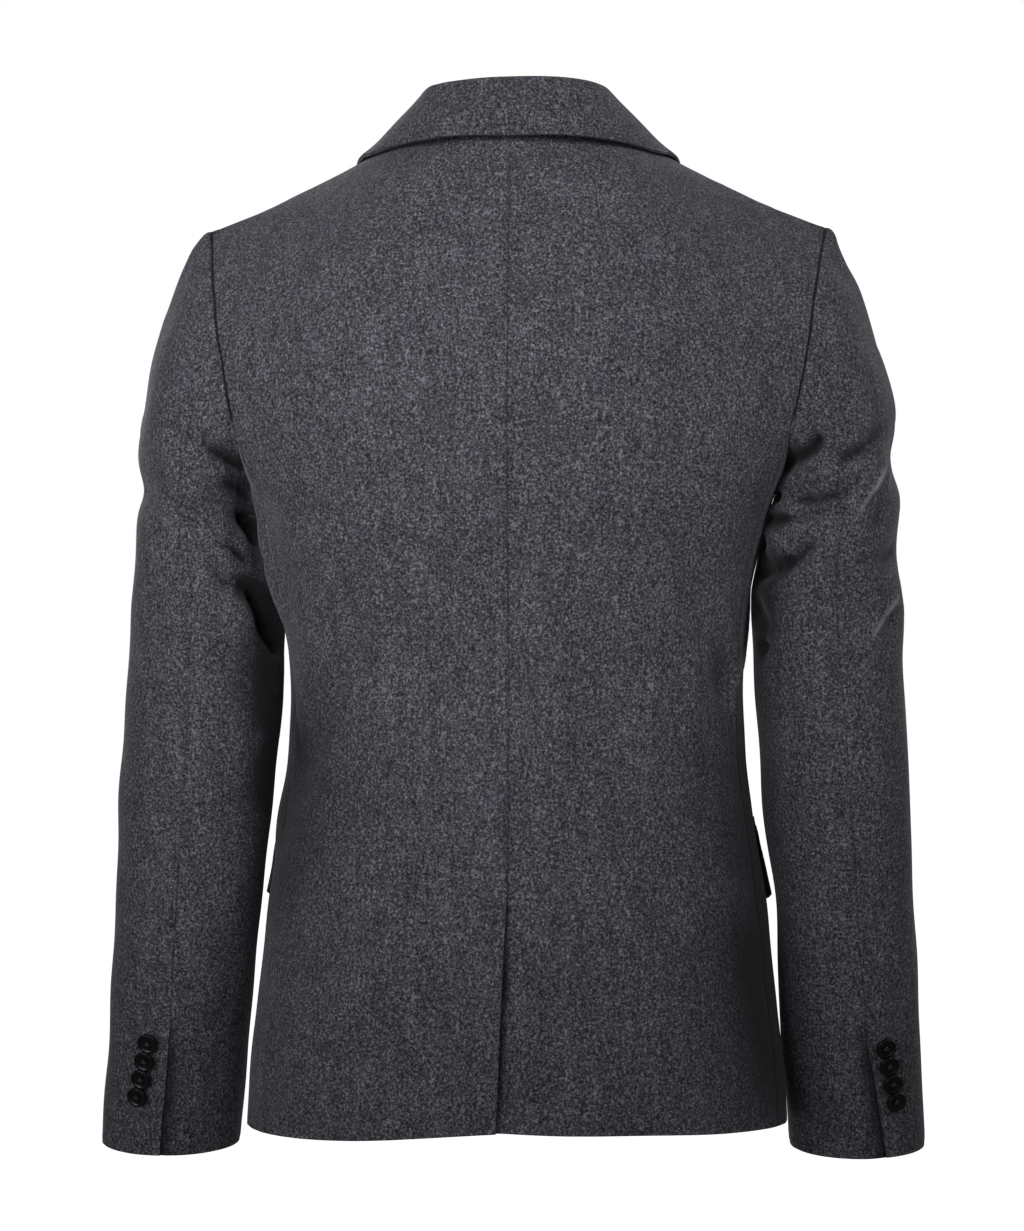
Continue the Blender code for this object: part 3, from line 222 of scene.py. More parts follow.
def finer(node):
    """A copy of a node's wall in smooth, small faces, firm along its cut edges."""
    piece = bpy.data.objects.new(node + "_cloth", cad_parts[node].data.copy())
    bpy.context.scene.collection.objects.link(piece)
    only(piece)
    bpy.ops.object.mode_set(mode="EDIT")
    bpy.ops.mesh.select_all(action="SELECT")
    bpy.ops.mesh.remove_doubles(threshold=WELD)
    bpy.ops.object.mode_set(mode="OBJECT")
    bpy.ops.mesh.customdata_custom_splitnormals_clear()
    piece.data.materials.clear()
    piece.data.materials.append(wool_flannel)
    piece.data.materials.append(wool_flannel)
    wall = bmesh.new()
    wall.from_mesh(piece.data)
    wall.normal_update()
    tree = BVHTree.FromBMesh(wall)
    for face in wall.faces:
        below = face.calc_center_median() - face.normal * PROBE
        _, behind, _, depth = tree.ray_cast(below, -face.normal)
        deep = depth is None or depth > WALL_DEPTH
        face.material_index = int(deep or behind.dot(face.normal) > OPPOSED)
    wall.to_mesh(piece.data)
    wall.free()
    bpy.ops.object.mode_set(mode="EDIT")
    bpy.ops.mesh.select_all(action="SELECT")
    bpy.ops.mesh.tris_convert_to_quads(
        face_threshold=math.pi, shape_threshold=math.pi, topology_influence=1.4, materials=True
    )
    bpy.ops.object.mode_set(mode="OBJECT")
    wall = bmesh.new()
    wall.from_mesh(piece.data)
    crease = wall.edges.layers.float.new("crease_edge")
    for edge in wall.edges:
        kinds = {face.material_index for face in edge.link_faces}
        corner = kinds == {1} and edge.calc_face_angle(0.0) > FOLDED_CORNER
        edge[crease] = float(len(kinds) > 1 or corner)
    wall.to_mesh(piece.data)
    wall.free()
    divide = piece.modifiers.new("divide", "SUBSURF")
    divide.levels = 1
    corners = read_points(piece)
    for _ in range(HOLDING_ROUNDS):
        smooth = piece.evaluated_get(bpy.context.evaluated_depsgraph_get()).data
        rounded = np.array([tuple(vertex.co) for vertex in smooth.vertices[: len(corners)]])
        write_points(piece, read_points(piece) + corners - rounded)
    divide.levels = FINENESS
    divide.render_levels = FINENESS
    bpy.ops.object.modifier_apply(modifier="divide")
    return piece


def note(piece, name, values):
    """Keeps a number with each point of the cloth, for its material to read."""
    kept = piece.data.attributes.get(name) or piece.data.attributes.new(name, "FLOAT", "POINT")
    kept.data.foreach_set("value", np.asarray(values, np.float32))


Crease = namedtuple("Crease", "height_1 angle_1 height_2 angle_2 depth width")
DEEP = 5.5 * MM  # a crease of this depth or more is in full shade
SHARP = 2.6 * MM  # a narrow ridge of this height or more is painted fully paler, partly wear and partly a painted highlight
NARROW = 2.4
BROAD = 11.0  # wider rows only move the cloth
VEIL = 25.0  # and the widest only shade it, where it turns away from the light
END_SHARE = 0.35  # how much of its depth a crease keeps at its ends


def press(piece, creases, axis, side):
    """Moves the cloth out from its axis (positive) or in, along each crease, and keeps the painted
    shade of the creases and the painted highlight of narrow ridges for the material.
    """
    points = read_points(piece)
    out = points[:, :2] - axis(points[:, 2])
    radius = np.linalg.norm(out, axis=1)
    angle = np.degrees(np.arctan2(out[:, 1], out[:, 0] * side)) % 360
    lift = np.zeros(len(points))
    shade = np.zeros(len(points))
    for row in creases:
        fold = Crease(*row)
        turn = (angle - fold.angle_1 + 180) % 360 - 180
        place = np.stack([np.radians(turn) * radius, points[:, 2] - fold.height_1 * MM], 1)
        run = np.radians(fold.angle_2 - fold.angle_1) * radius
        line = np.stack([run, np.full(len(points), (fold.height_2 - fold.height_1) * MM)], 1)
        share = np.clip((place * line).sum(1) / (line**2).sum(1), 0, 1)
        distance = np.linalg.norm(place - share[:, None] * line, axis=1)
        fade = 1 - np.abs(2 * share - 1) ** 3
        section = np.exp(-((distance / (fold.width * MM)) ** 2))
        push = fold.depth * MM * section * (END_SHARE + (1 - END_SHARE) * fade)
        lift += push * (fold.width < VEIL)
        if fold.width < BROAD or fold.width >= VEIL:
            full = DEEP if fold.depth < 0 else SHARP * max(1.0, fold.width / NARROW)
            shade -= push / full
    points[:, :2] += out / np.maximum(radius, MM)[:, None] * lift[:, None]
    write_points(piece, points)
    # Positive values are painted shade in the creases, negative ones a painted highlight on narrow
    # ridges.
    note(piece, "painted_shade_and_highlight", np.clip(shade, -1, 1))


RIPPLES = (
    # amount, and waves per metre along X, Y and Z
    (0.30, 9.0, 4.0, 7.0),
    (0.25, -6.0, 9.0, 12.0),
    (0.20, 14.0, -8.0, 5.0),
    (0.16, 5.0, 13.0, -17.0),
    (0.12, -19.0, 6.0, 11.0),
)
PUCKERS = ((0.10, 38.0, 21.0, 47.0), (0.08, -27.0, 44.0, 36.0), (0.06, 61.0, -35.0, 55.0))
RIPPLE_PHASE = 40  # radians for each unit of amount, so that no two waves start together
PUCKER_PHASE = 90
PUCKER_REACH = 9.0  # millimetres from a seam
SEAM_SPAN = 4.0 * MM  # cut edges this close to another piece get a dark line: a seam, or painted contact shade where they only lie on it
SEAM_VALLEY = 0.35 * MM
VALLEY_REACH = 1.4  # millimetres
LIP_STEPS = np.linspace(0, 1, 8, endpoint=False)  # where each edge of a lip is sampled
SEAM_MARKS = {"armhole": 1.0, "other": 0.30}  # how dark the line of a seam, or of the painted contact shade, is


def seam_and_contact_marks(node, edges):
    """How dark the line at each point of a cut edge is: 0 where no other piece is near. An edge that
    only lies on another piece gets the same line as painted contact shade.
    """
    corners, faces, owners = [], [], []
    for other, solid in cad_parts.items():
        if other == node or "button" in other:
            continue
        faces += [[corner + len(corners) for corner in face.vertices] for face in solid.data.polygons]
        owners += [other] * len(solid.data.polygons)
        corners += [vertex.co for vertex in solid.data.vertices]
    around = BVHTree.FromPolygons(corners, faces)
    marks = []
    for point in edges:
        face = around.find_nearest(point, SEAM_SPAN)[2]
        if face is None:
            marks.append(0.0)
        else:
            armhole = ("sleeve" in node) != ("sleeve" in owners[face])
            marks.append(SEAM_MARKS["armhole" if armhole else "other"])
    return np.array(marks)


def soften(piece, node):
    """Rounds the cut edges, sinks the seams and makes the cloth a little uneven."""
    mesh = piece.data
    points = read_points(piece)
    normals = {0: np.zeros_like(points), 1: np.zeros_like(points)}
    for face in mesh.polygons:
        normals[face.material_index][list(face.vertices)] += face.normal
    lengths = {kind: np.linalg.norm(normals[kind], axis=1) for kind in normals}
    units = {kind: normals[kind] / np.maximum(lengths[kind], 1e-9)[:, None] for kind in normals}
    cut = np.flatnonzero(lengths[1])
    lips = np.flatnonzero(lengths[0] * lengths[1])
    points[cut] += units[1][cut] * SEAM_DRAW
    marks = np.zeros(len(points))
    marks[lips] = seam_and_contact_marks(node, points[lips])
    ends = np.array([edge.vertices for edge in mesh.edges])
    ends = ends[np.isin(ends, lips).all(axis=1)]
    nearest = KDTree(len(ends) * len(LIP_STEPS))
    spots, spot_marks = [], []
    for step in LIP_STEPS:
        spots.append(points[ends[:, 0]] * (1 - step) + points[ends[:, 1]] * step)
        spot_marks.append(marks[ends[:, 0]] * (1 - step) + marks[ends[:, 1]] * step)
    for order, spot in enumerate(np.concatenate(spots)):
        nearest.insert(spot, order)
    nearest.balance()
    found = [nearest.find(point) for point in points]
    reach = np.array([hit[2] for hit in found]) / MM
    seam_and_contact_mark = np.concatenate(spot_marks)[[hit[1] for hit in found]]
    near = np.exp(-((reach / PUCKER_REACH) ** 2))
    wave = np.zeros(len(points))
    for amount, *waves in RIPPLES:
        wave += amount * np.sin(points @ np.array(waves) * 2 * math.pi + amount * RIPPLE_PHASE)
    for amount, *waves in PUCKERS:
        turns = points @ np.array(waves) * 2 * math.pi + amount * PUCKER_PHASE
        wave += amount * np.sin(turns) * near
    out = points[:, :2] / np.linalg.norm(points[:, :2], axis=1)[:, None]
    points[:, :2] += out * (wave * MM)[:, None]
    valley = SEAM_VALLEY * (seam_and_contact_mark > 0) * np.exp(-((reach / VALLEY_REACH) ** 2))
    points -= units[0] * valley[:, None]
    points[lips] -= units[0][lips] * EDGE_ROUND
    write_points(piece, points)
    note(piece, "reach", reach)
    note(piece, "seam_and_contact_mark", seam_and_contact_mark)
    for face in mesh.polygons:
        face.material_index = 0
    mesh.materials.pop(index=1)
    bpy.ops.object.shade_smooth()


def hand_in(piece, node):
    """Puts a finished piece of cloth under the root and hides the solid it was made from."""
    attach(piece, "root")
    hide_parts(node)


SIDES = {"left": 1, "right": -1}  # which way is outwards along X


def body_axis(heights):
    """The body's creases are turned about the upright through the neck; angle 0 is outwards."""
    return np.zeros((len(heights), 2))


BACK_CREASES = {
    "left": [
        (-540, 89, -683, 87, 2.2, 8),
        (-248, 10, -300, 10, 5.0, 13),
        (-300, 10, -346, 7, 5.0, 13),
        (-272, 10, -336, 8, 4.8, 14),
        (-363, 42, -411, 32, -1.6, 18),
        (-411, 32, -467, 18, -1.6, 18),
        (-370, 8, -439, 16, -1.8, 8),
    ],
    "right": [
        (-531, 92, -600, 91, -2.6, 5),
        (-584, 93, -684, 95, -3.5, 7),
        (-248, 44, -281, 38, -2.0, 12),
        (-281, 38, -342, 28, -2.4, 12),
        (-342, 28, -397, 17, -2.0, 12),
        (-325, -2, -365, 4, 1.8, 5),
        (-365, 4, -386, 14, 2.2, 5),
        (-386, 14, -402, 14, 1.5, 4),
        (-356, 19, -397, 18, -2.2, 8),
    ],
}
UNDER_ARM_SHADE = {
    "left": [(-380, 5, -570, 5, -4.5, 70)],
    "right": [(-530, 0, -690, 0, -8.8, 76), (-390, 5, -540, 0, -3.9, 67)],
}

HEM_RISE = 2.6 * MM  # the right panel hangs a little short, halfway to its side seam
HEM_PLACE = -0.105
HEM_REACH = 0.055
HEM_START = -0.62
HEM_SPAN = 0.07


def even_hem(piece):
    """Lifts the hem where the right panel hangs short."""
    points = read_points(piece)
    low = np.clip((HEM_START - points[:, 2]) / HEM_SPAN, 0, 1)
    near = np.exp(-(((points[:, 0] - HEM_PLACE) / HEM_REACH) ** 2))
    points[:, 2] += HEM_RISE * low * near
    write_points(piece, points)


for side, sign in SIDES.items():
    back = finer(f"back_{side}")
    soften(back, f"back_{side}")
    press(back, BACK_CREASES[side] + UNDER_ARM_SHADE[side], body_axis, sign)
    even_hem(back)
    hand_in(back, f"back_{side}")

# ------------------------------------------------------------------ side bodies
# The narrow panel under each arm shapes the waist; it is seamed to the back and the front.

for side, sign in SIDES.items():
    panel = finer(f"side_{side}")
    soften(panel, f"side_{side}")
    press(panel, BACK_CREASES[side] + UNDER_ARM_SHADE[side], body_axis, sign)
    even_hem(panel)
    hand_in(panel, f"side_{side}")

# ------------------------------------------------------------------ fronts
# The left front laps over the right one and is buttoned to it. Both are cut in one piece
# from shoulder to hem, and curve away at the bottom.

FRONT_CREASES = {
    "left": [
        (-388, 281, -334, 301, -1.4, 8),
        (-392, 283, -432, 306, -1.3, 9),
        (-402, 284, -474, 297, -1.0, 11),
        (-262, 338, -352, 331, -1.6, 13),
        (-366, 335, -452, 341, 1.4, 15),
    ],
    "right": [
        (-386, 285, -346, 306, -1.2, 8),
        (-396, 286, -446, 303, -1.5, 8),
        (-258, 341, -338, 329, -1.4, 12),
        (-352, 338, -436, 344, 1.2, 16),
    ],
}

for side, sign in SIDES.items():
    front = finer(f"front_{side}")
    soften(front, f"front_{side}")
    press(front, FRONT_CREASES[side] + UNDER_ARM_SHADE[side], body_axis, sign)
    hand_in(front, f"front_{side}")

# ------------------------------------------------------------------ lapels
# Each lapel is the top of the front turned back along the roll line, two layers pressed
# together; it lies on the chest up to the gorge seam, where the collar meets it.

for side, sign in SIDES.items():
    lapel = finer(f"lapel_{side}")
    soften(lapel, f"lapel_{side}")
    hand_in(lapel, f"lapel_{side}")

# ------------------------------------------------------------------ pocket flaps and jets
# A lined flap hangs from the hip pocket's opening under a narrow folded jet.

for side, sign in SIDES.items():
    flap = finer(f"flap_{side}")
    soften(flap, f"flap_{side}")
    hand_in(flap, f"flap_{side}")
    welt = finer(f"welt_{side}")
    soften(welt, f"welt_{side}")
    hand_in(welt, f"welt_{side}")

# ------------------------------------------------------------------ collar
# The stand rises from the neck seam and rolls over into the fall, which covers the seam
# and ends in a notch above each lapel. Felt under the cloth keeps it firm.

collar = finer("collar")
soften(collar, "collar")
hand_in(collar, "collar")

# ------------------------------------------------------------------ sleeves
# Each sleeve is a top and an under piece, seamed at the elbow and at the forearm and eased
# into the armhole. It hangs bent, so it breaks into creases behind and inside the elbow.

SLEEVE_CREASES = {
    "left": [
        (-345, 170, -425, 170, -8.0, 36),
        (-425, 172, -480, 172, -5.0, 30),
        (-480, 172, -690, 172, -2.2, 26),
        (-80, 0, -130, 0, -1.8, 24),
        (-195, 0, -212, 0, 1.8, 12),
        (-265, 0, -330, 0, -1.4, 18),
        (-251, 30, -257, 70, -3.4, 11),
        (-204, 72, -220, 91, -1.8, 4),
        (-254, 71, -267, 98, -1.4, 4),
        (-265, 79, -281, 97, -1.8, 4),
        (-261, 66, -287, 83, 1.6, 3.5),
        (-210, 98, -219, 96, -1.8, 2.5),
        (-223, 98, -229, 110, -4.5, 4.5),
        (-229, 110, -238, 133, -6.0, 5),
        (-237, 109, -242, 128, 2.0, 4),
        (-247, 110, -252, 125, -4.5, 4.5),
        (-252, 125, -258, 145, -6.5, 6),
        (-272, 150, -284, 158, -8.0, 7),
        (-322, 135, -335, 165, -8.0, 9),
        (-337, 158, -362, 178, -8.0, 9),
        (-268, 132, -276, 142, -10.0, 6),
        (-276, 142, -290, 150, -9.0, 6),
        (-298, 132, -302, 141, 2.2, 4),
        (-288, 103, -292, 120, -3.4, 2.8),
        (-292, 120, -301, 131, -5.0, 3.2),
        (-296, 130, -304, 148, -4.5, 8),
        (-295, 111, -304, 115, 1.6, 4),
        (-297, 98, -310, 105, -2.4, 3),
        (-310, 105, -319, 113, -3.4, 3.6),
        (-316, 120, -325, 143, -7.0, 8),
        (-325, 143, -337, 157, -8.0, 7),
        (-337, 145, -356, 160, -9.0, 8),
        (-356, 160, -365, 175, -7.5, 6),
        (-397, 155, -387, 171, 1.6, 2.5),
        (-332, 178, -350, 178, 1.5, 12),
        (-262, 262, -276, 232, -4.0, 6),
        (-284, 268, -292, 226, 2.2, 6),
        (-300, 276, -306, 224, -5.0, 7),
        (-322, 250, -352, 292, -3.2, 8),
    ],
    "right": [
        (-295, 170, -352, 170, -6.5, 40),
        (-352, 165, -540, 165, -3.0, 32),
        (-226, -12, -240, 8, -2.4, 12),
        (-314, -12, -338, 8, -3.2, 13),
        (-78, -25, -80, 40, -3.2, 8),
        (-150, 0, -205, 0, 2.8, 22),
        (-238, 136, -306, 140, 9.0, 16),
        (-244, 168, -306, 172, 6.0, 18),
        (-239, 138, -226, 102, -8.0, 5),
        (-226, 102, -215, 95, -6.0, 5),
        (-234, 87, -222, 67, -4.5, 4.5),
        (-222, 67, -210, 51, -3.5, 6),
        (-294, 16, -301, 52, -4.2, 7),
        (-257, 152, -256, 138, -9.0, 5),
        (-260, 122, -259, 99, -4.0, 3.6),
        (-259, 99, -257, 86, -3.6, 3.6),
        (-257, 86, -244, 72, -2.4, 4),
        (-272, 152, -272, 125, -6.5, 6),
        (-272, 125, -266, 91, -2.4, 4),
        (-288, 162, -288, 152, -8.0, 4.5),
        (-295, 158, -305, 129, -4.5, 7),
        (-311, 164, -309, 139, -8.0, 5),
        (-309, 139, -300, 116, -6.0, 5),
        (-300, 116, -286, 102, -3.4, 5),
        (-330, 163, -349, 140, -5.0, 8),
        (-356, 149, -364, 153, -7.5, 6),
        (-249, 150, -245, 102, 2.2, 5),
        (-265, 156, -266, 118, 2.0, 4),
        (-290, 124, -280, 106, 2.0, 5),
        (-232, 48, -258, 69, 2.4, 2.3),
        (-258, 69, -270, 77, 1.6, 2.3),
        (-237, 36, -248, 50, 1.8, 2.6),
        (-325, 28, -339, 47, 3.0, 2.3),
        (-339, 47, -354, 59, 2.2, 2.3),
        (-260, 58, -280, 60, -2.4, 5),
        (-337, 35, -350, 42, -2.2, 5),
        (-364, 113, -334, 70, 1.0, 2.6),
        (-376, 96, -357, 69, 0.9, 2.6),
        (-268, 264, -278, 230, -4.2, 6),
        (-292, 272, -298, 228, 2.2, 6),
        (-306, 274, -314, 226, -4.6, 7),
        (-330, 250, -362, 288, -3.0, 8),
    ],
}
TOP_FLAT = (0.225, 0.660)
TOP_AREA = 0.106
UNDER_FLAT = (0.160, 0.560)
UNDER_AREA = 0.075
AXIS_STEPS = np.linspace(-0.72, -0.12, 13)
AXIS_WINDOW = 28 * MM
CUFF_SLIT = -0.612  # below this the elbow seam is open, the top sleeve lying over the under one
SLIT_FADE = 0.04
SLIT_LEAN = {"left": 0.0, "right": 8.5 * MM}  # how far the slit's top leans over from its foot
LEAN_HEIGHTS = (-0.718, -0.635, -0.570, -0.420)
LEAN_SHARES = (0.0, 1.0, 1.0, 0.0)
LEAN_REACH = 0.65  # radians
SLIT_DROP = 3.0 * MM
SLIT_LAP = 5.0 * MM
SLIT_SHADE = 9.0 * MM
ELBOW_SEAM = (-0.58, -0.30)  # the elbow seam fades out upwards between these heights
ELBOW_LEAST = 0.25
ARMHOLE_MARK = 0.9  # seams marked this dark or more are the armhole's
AT_LIP = 0.3  # millimetres
HEAD_RISE = 2.3 * MM  # the seam allowances lift the sleeve head above the shoulder
HEAD_START = -0.105
HEAD_SPAN = 0.05
HEAD_FLAT = 4.0  # millimetres from the seam over which the head is lifted whole
HEAD_FALL = 6.0
HEM_LIFT = {"left": 1.0, "right": 0.965}
SHORTEN = -0.66


def arm_points(side):
    """The corners of a sleeve's two solids."""
    nodes = (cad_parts[f"{part}_sleeve_{side}"] for part in ("top", "under"))
    return np.concatenate([[tuple(v.co) for v in node.data.vertices] for node in nodes])


def arm_axis(side):
    """The middle line of a sleeve, level by level, from its own solids."""
    points = arm_points(side)
    middles = []
    for height in AXIS_STEPS:
        ring = points[np.abs(points[:, 2] - height) < AXIS_WINDOW][:, :2]
        middles.append((ring.min(0) + ring.max(0)) / 2)
    middles = np.array(middles)

    def axis(heights):
        return np.stack([np.interp(heights, AXIS_STEPS, middles[:, i]) for i in (0, 1)], 1)

    return axis


def round_waves(angle, heights):
    """Sines and cosines round a sleeve, level and sloping with height."""
    turns = np.arange(1, 5)[:, None] * angle
    ring = np.concatenate([np.ones((1, len(angle))), np.cos(turns), np.sin(turns)])
    return np.concatenate([ring, ring * heights]).T


def forearm(side, sign, axis):
    """The shape of the lower sleeve: how far its wall is from the middle, by angle and height."""
    points = arm_points(side)
    points = points[points[:, 2] < LEAN_HEIGHTS[-1]]
    out = points[:, :2] - axis(points[:, 2])
    waves = round_waves(np.arctan2(out[:, 1], out[:, 0] * sign), points[:, 2])
    fit = np.linalg.lstsq(waves, np.linalg.norm(out, axis=1), rcond=None)[0]
    return lambda angle, heights: round_waves(angle, heights) @ fit


def kept_numbers(piece, name):
    values = np.empty(len(piece.data.vertices), np.float32)
    piece.data.attributes[name].data.foreach_get("value", values)
    return values


def slit_angle(angle, points, lip):
    """The angle of the elbow seam at the height of each point."""
    lip = np.flatnonzero(lip)
    lip = lip[np.argsort(points[lip, 2])]
    return np.interp(points[:, 2], points[lip, 2], angle[lip])


def lean_slit(points, lip, side, sign, axis):
    """Slides the cloth round the arm so that the slit leans, its wall staying where it was."""
    middle = axis(points[:, 2])
    out = points[:, :2] - middle
    far = np.linalg.norm(out, axis=1)
    angle = np.arctan2(out[:, 1], out[:, 0] * sign)
    share = np.interp(points[:, 2], LEAN_HEIGHTS, LEAN_SHARES)
    across = (angle - slit_angle(angle, points, lip & (out[:, 1] > 0))) / LEAN_REACH
    turned = angle + SLIT_LEAN[side] / far * share * np.exp(-(across**2))
    wall = forearm(side, sign, axis)
    moved = points[:, 2] < LEAN_HEIGHTS[-1]
    far[moved] *= (wall(turned, points[:, 2]) / wall(angle, points[:, 2]))[moved]
    points[:, :2] = middle + np.stack([np.cos(turned) * sign, np.sin(turned)], 1) * far[:, None]


def finish_sleeve(piece, part, side, sign, axis):
    """Raises the sleeve head, lays the cuff's slit with a painted shadow under its lap, and evens the
    hem.
    """
    points = read_points(piece)
    reach, seam_and_contact_mark, painted_shade_and_highlight = (kept_numbers(piece, name) for name in ("reach", "seam_and_contact_mark", "painted_shade_and_highlight"))
    elbow = (seam_and_contact_mark > 0) & (seam_and_contact_mark < ARMHOLE_MARK)
    lip = elbow & (reach < AT_LIP)
    lean_slit(points, lip, side, sign, axis)
    bottom, top = ELBOW_SEAM
    fade = np.clip((top - points[:, 2]) / (top - bottom), ELBOW_LEAST, 1)
    seam_and_contact_mark = np.where(elbow, seam_and_contact_mark * fade, seam_and_contact_mark)
    high = np.clip((points[:, 2] - HEAD_START) / HEAD_SPAN, 0, 1)
    beyond = np.maximum(reach - HEAD_FLAT, 0)
    head = HEAD_RISE * high * (seam_and_contact_mark > ARMHOLE_MARK) * np.exp(-((beyond / HEAD_FALL) ** 2))
    points[:, 2] += head
    middle = axis(points[:, 2])
    out = points[:, :2] - middle
    away = out / np.linalg.norm(out, axis=1)[:, None]
    round_arm = np.stack([away[:, 1], -away[:, 0]], 1) * sign
    low = np.clip((CUFF_SLIT - points[:, 2]) / SLIT_FADE, 0, 1) * (out[:, 1] > 0)
    if part == "under":
        angle = np.arctan2(out[:, 1], out[:, 0] * sign)
        slit = slit_angle(angle, points, lip & (out[:, 1] > 0))
        across = (angle - slit) * np.linalg.norm(out, axis=1)
        drop = low * np.exp(-((across / SLIT_LAP) ** 2))
        points[:, :2] += (round_arm * SLIT_LAP - away * SLIT_DROP) * drop[:, None]
        # The under sleeve is painted in shade where the top sleeve laps over it.
        painted_shade_and_highlight = np.maximum(painted_shade_and_highlight, low * np.exp(-((across / SLIT_SHADE) ** 2)))
    else:
        seam_and_contact_mark = seam_and_contact_mark * (1 - low)
    note(piece, "painted_shade_and_highlight", painted_shade_and_highlight)
    note(piece, "seam_and_contact_mark", seam_and_contact_mark)
    below = points[:, 2] < SHORTEN
    points[below, 2] = SHORTEN + (points[below, 2] - SHORTEN) * HEM_LIFT[side]
    write_points(piece, points)


CLEAR = 0.4 * MM  # kept between a sleeve and the body it rests on
SLEEVE_WALL = 2.4 * MM
UNDER_ARM = -0.235
FREE_FROM_SEAM = 6.0  # millimetres
OUTER_FACE = 0.2
LOOK_AROUND = 12 * MM


def keep_clear(piece, side, sign):
    """Lays a sleeve against the body instead of through it."""
    corners, faces = [], []
    for part in ("back", "side", "front"):
        body = bpy.data.objects[f"{part}_{side}_cloth"].data
        outer = (face for face in body.polygons if face.normal.x * sign > OUTER_FACE)
        faces += [[corner + len(corners) for corner in face.vertices] for face in outer]
        corners += [vertex.co for vertex in body.vertices]
    body = BVHTree.FromPolygons(corners, faces)
    points = read_points(piece)
    normals = np.array([tuple(vertex.normal) for vertex in piece.data.vertices])
    free = (points[:, 2] < UNDER_ARM) & (kept_numbers(piece, "reach") > FREE_FROM_SEAM)
    for index in np.flatnonzero(free):
        spot, normal = body.find_nearest(points[index], LOOK_AROUND)[:2]
        if spot is not None:
            room = CLEAR + SLEEVE_WALL * (normals[index][0] * sign > 0)
            depth = (Vector(points[index]) - spot).dot(normal)
            points[index] += np.array(normal) * max(0.0, room - depth)
    write_points(piece, points)


for side, sign in SIDES.items():
    axis = arm_axis(side)
    for part, flat, area in (("top", TOP_FLAT, TOP_AREA), ("under", UNDER_FLAT, UNDER_AREA)):
        sleeve = finer(f"{part}_sleeve_{side}")
        soften(sleeve, f"{part}_sleeve_{side}")
        press(sleeve, SLEEVE_CREASES[side], axis, sign)
        finish_sleeve(sleeve, part, side, sign, axis)
        keep_clear(sleeve, side, sign)
        hand_in(sleeve, f"{part}_sleeve_{side}")

# ------------------------------------------------------------------ buttons
# Turned black buttons with a rim, a dished face and four holes, sewn on through them with
# thread. Two close the front; four touch each other at each cuff.

BUTTON_BLACK = (0.0018, 0.0018, 0.0021, 1.0)
BUTTON_CLOUD = (0.0040, 0.0038, 0.0038, 1.0)
THREAD_SHADOW = (0.0040, 0.0040, 0.0050, 1.0)
THREAD_BLACK = (0.0050, 0.0050, 0.0060, 1.0)


def horn():
    shell = Finish("black_button")
    place = shell.add("TexCoord", {}, {}, "Object")
    grain = shell.noise(place, 900.0, 3.0)
    colour = shell.blend(grain.between(0.35, 0.75), BUTTON_BLACK, BUTTON_CLOUD)
    scuffs = shell.add("Bump", {}, {"Strength": 0.08, "Distance": 0.0002, "Height": grain})
    values = {
        "Base Color": colour,
        "Roughness": 0.26 + grain * 0.16,
        "Specular IOR Level": 0.30,
        "Coat Weight": 0.12,
        "Coat Roughness": 0.12,
        "Normal": scuffs,
    }
    return shell.done(shell.add("BsdfPrincipled", {}, values))


def thread():
    cotton = Finish("black_thread")
    place = cotton.add("TexCoord", {}, {}, "Object")
    twist = cotton.noise(place, 2600.0, 1.0)
    colour = cotton.blend(twist.between(0.35, 0.65), THREAD_SHADOW, THREAD_BLACK)
    lay = cotton.add("Bump", {}, {"Strength": 0.5, "Distance": 0.0003, "Height": twist})
    values = {"Base Color": colour, "Roughness": 0.7, "Normal": lay}
    return cotton.done(cotton.add("BsdfPrincipled", {}, values))


black_button = horn()
black_thread = thread()

ROUND_SIDES = 48
RIM_SHARE = 0.20  # of the radius, as are the others but two
SLOPE_SHARE = 0.10
FOOT_SHARE = 0.22
HOLE_SHARE = 0.105
HOLE_PLACE = 0.235 * 1.35
THREAD_SHARE = 0.075
DISH_SHARE = 0.24  # of the thickness
EDGE_SHARE = 0.16
THREAD_OVERRUN = 1.35  # how much longer a strand is than the way from hole to hole
EDGE_ANGLE = math.radians(25)
SMOOTH_ANGLE = math.radians(32)


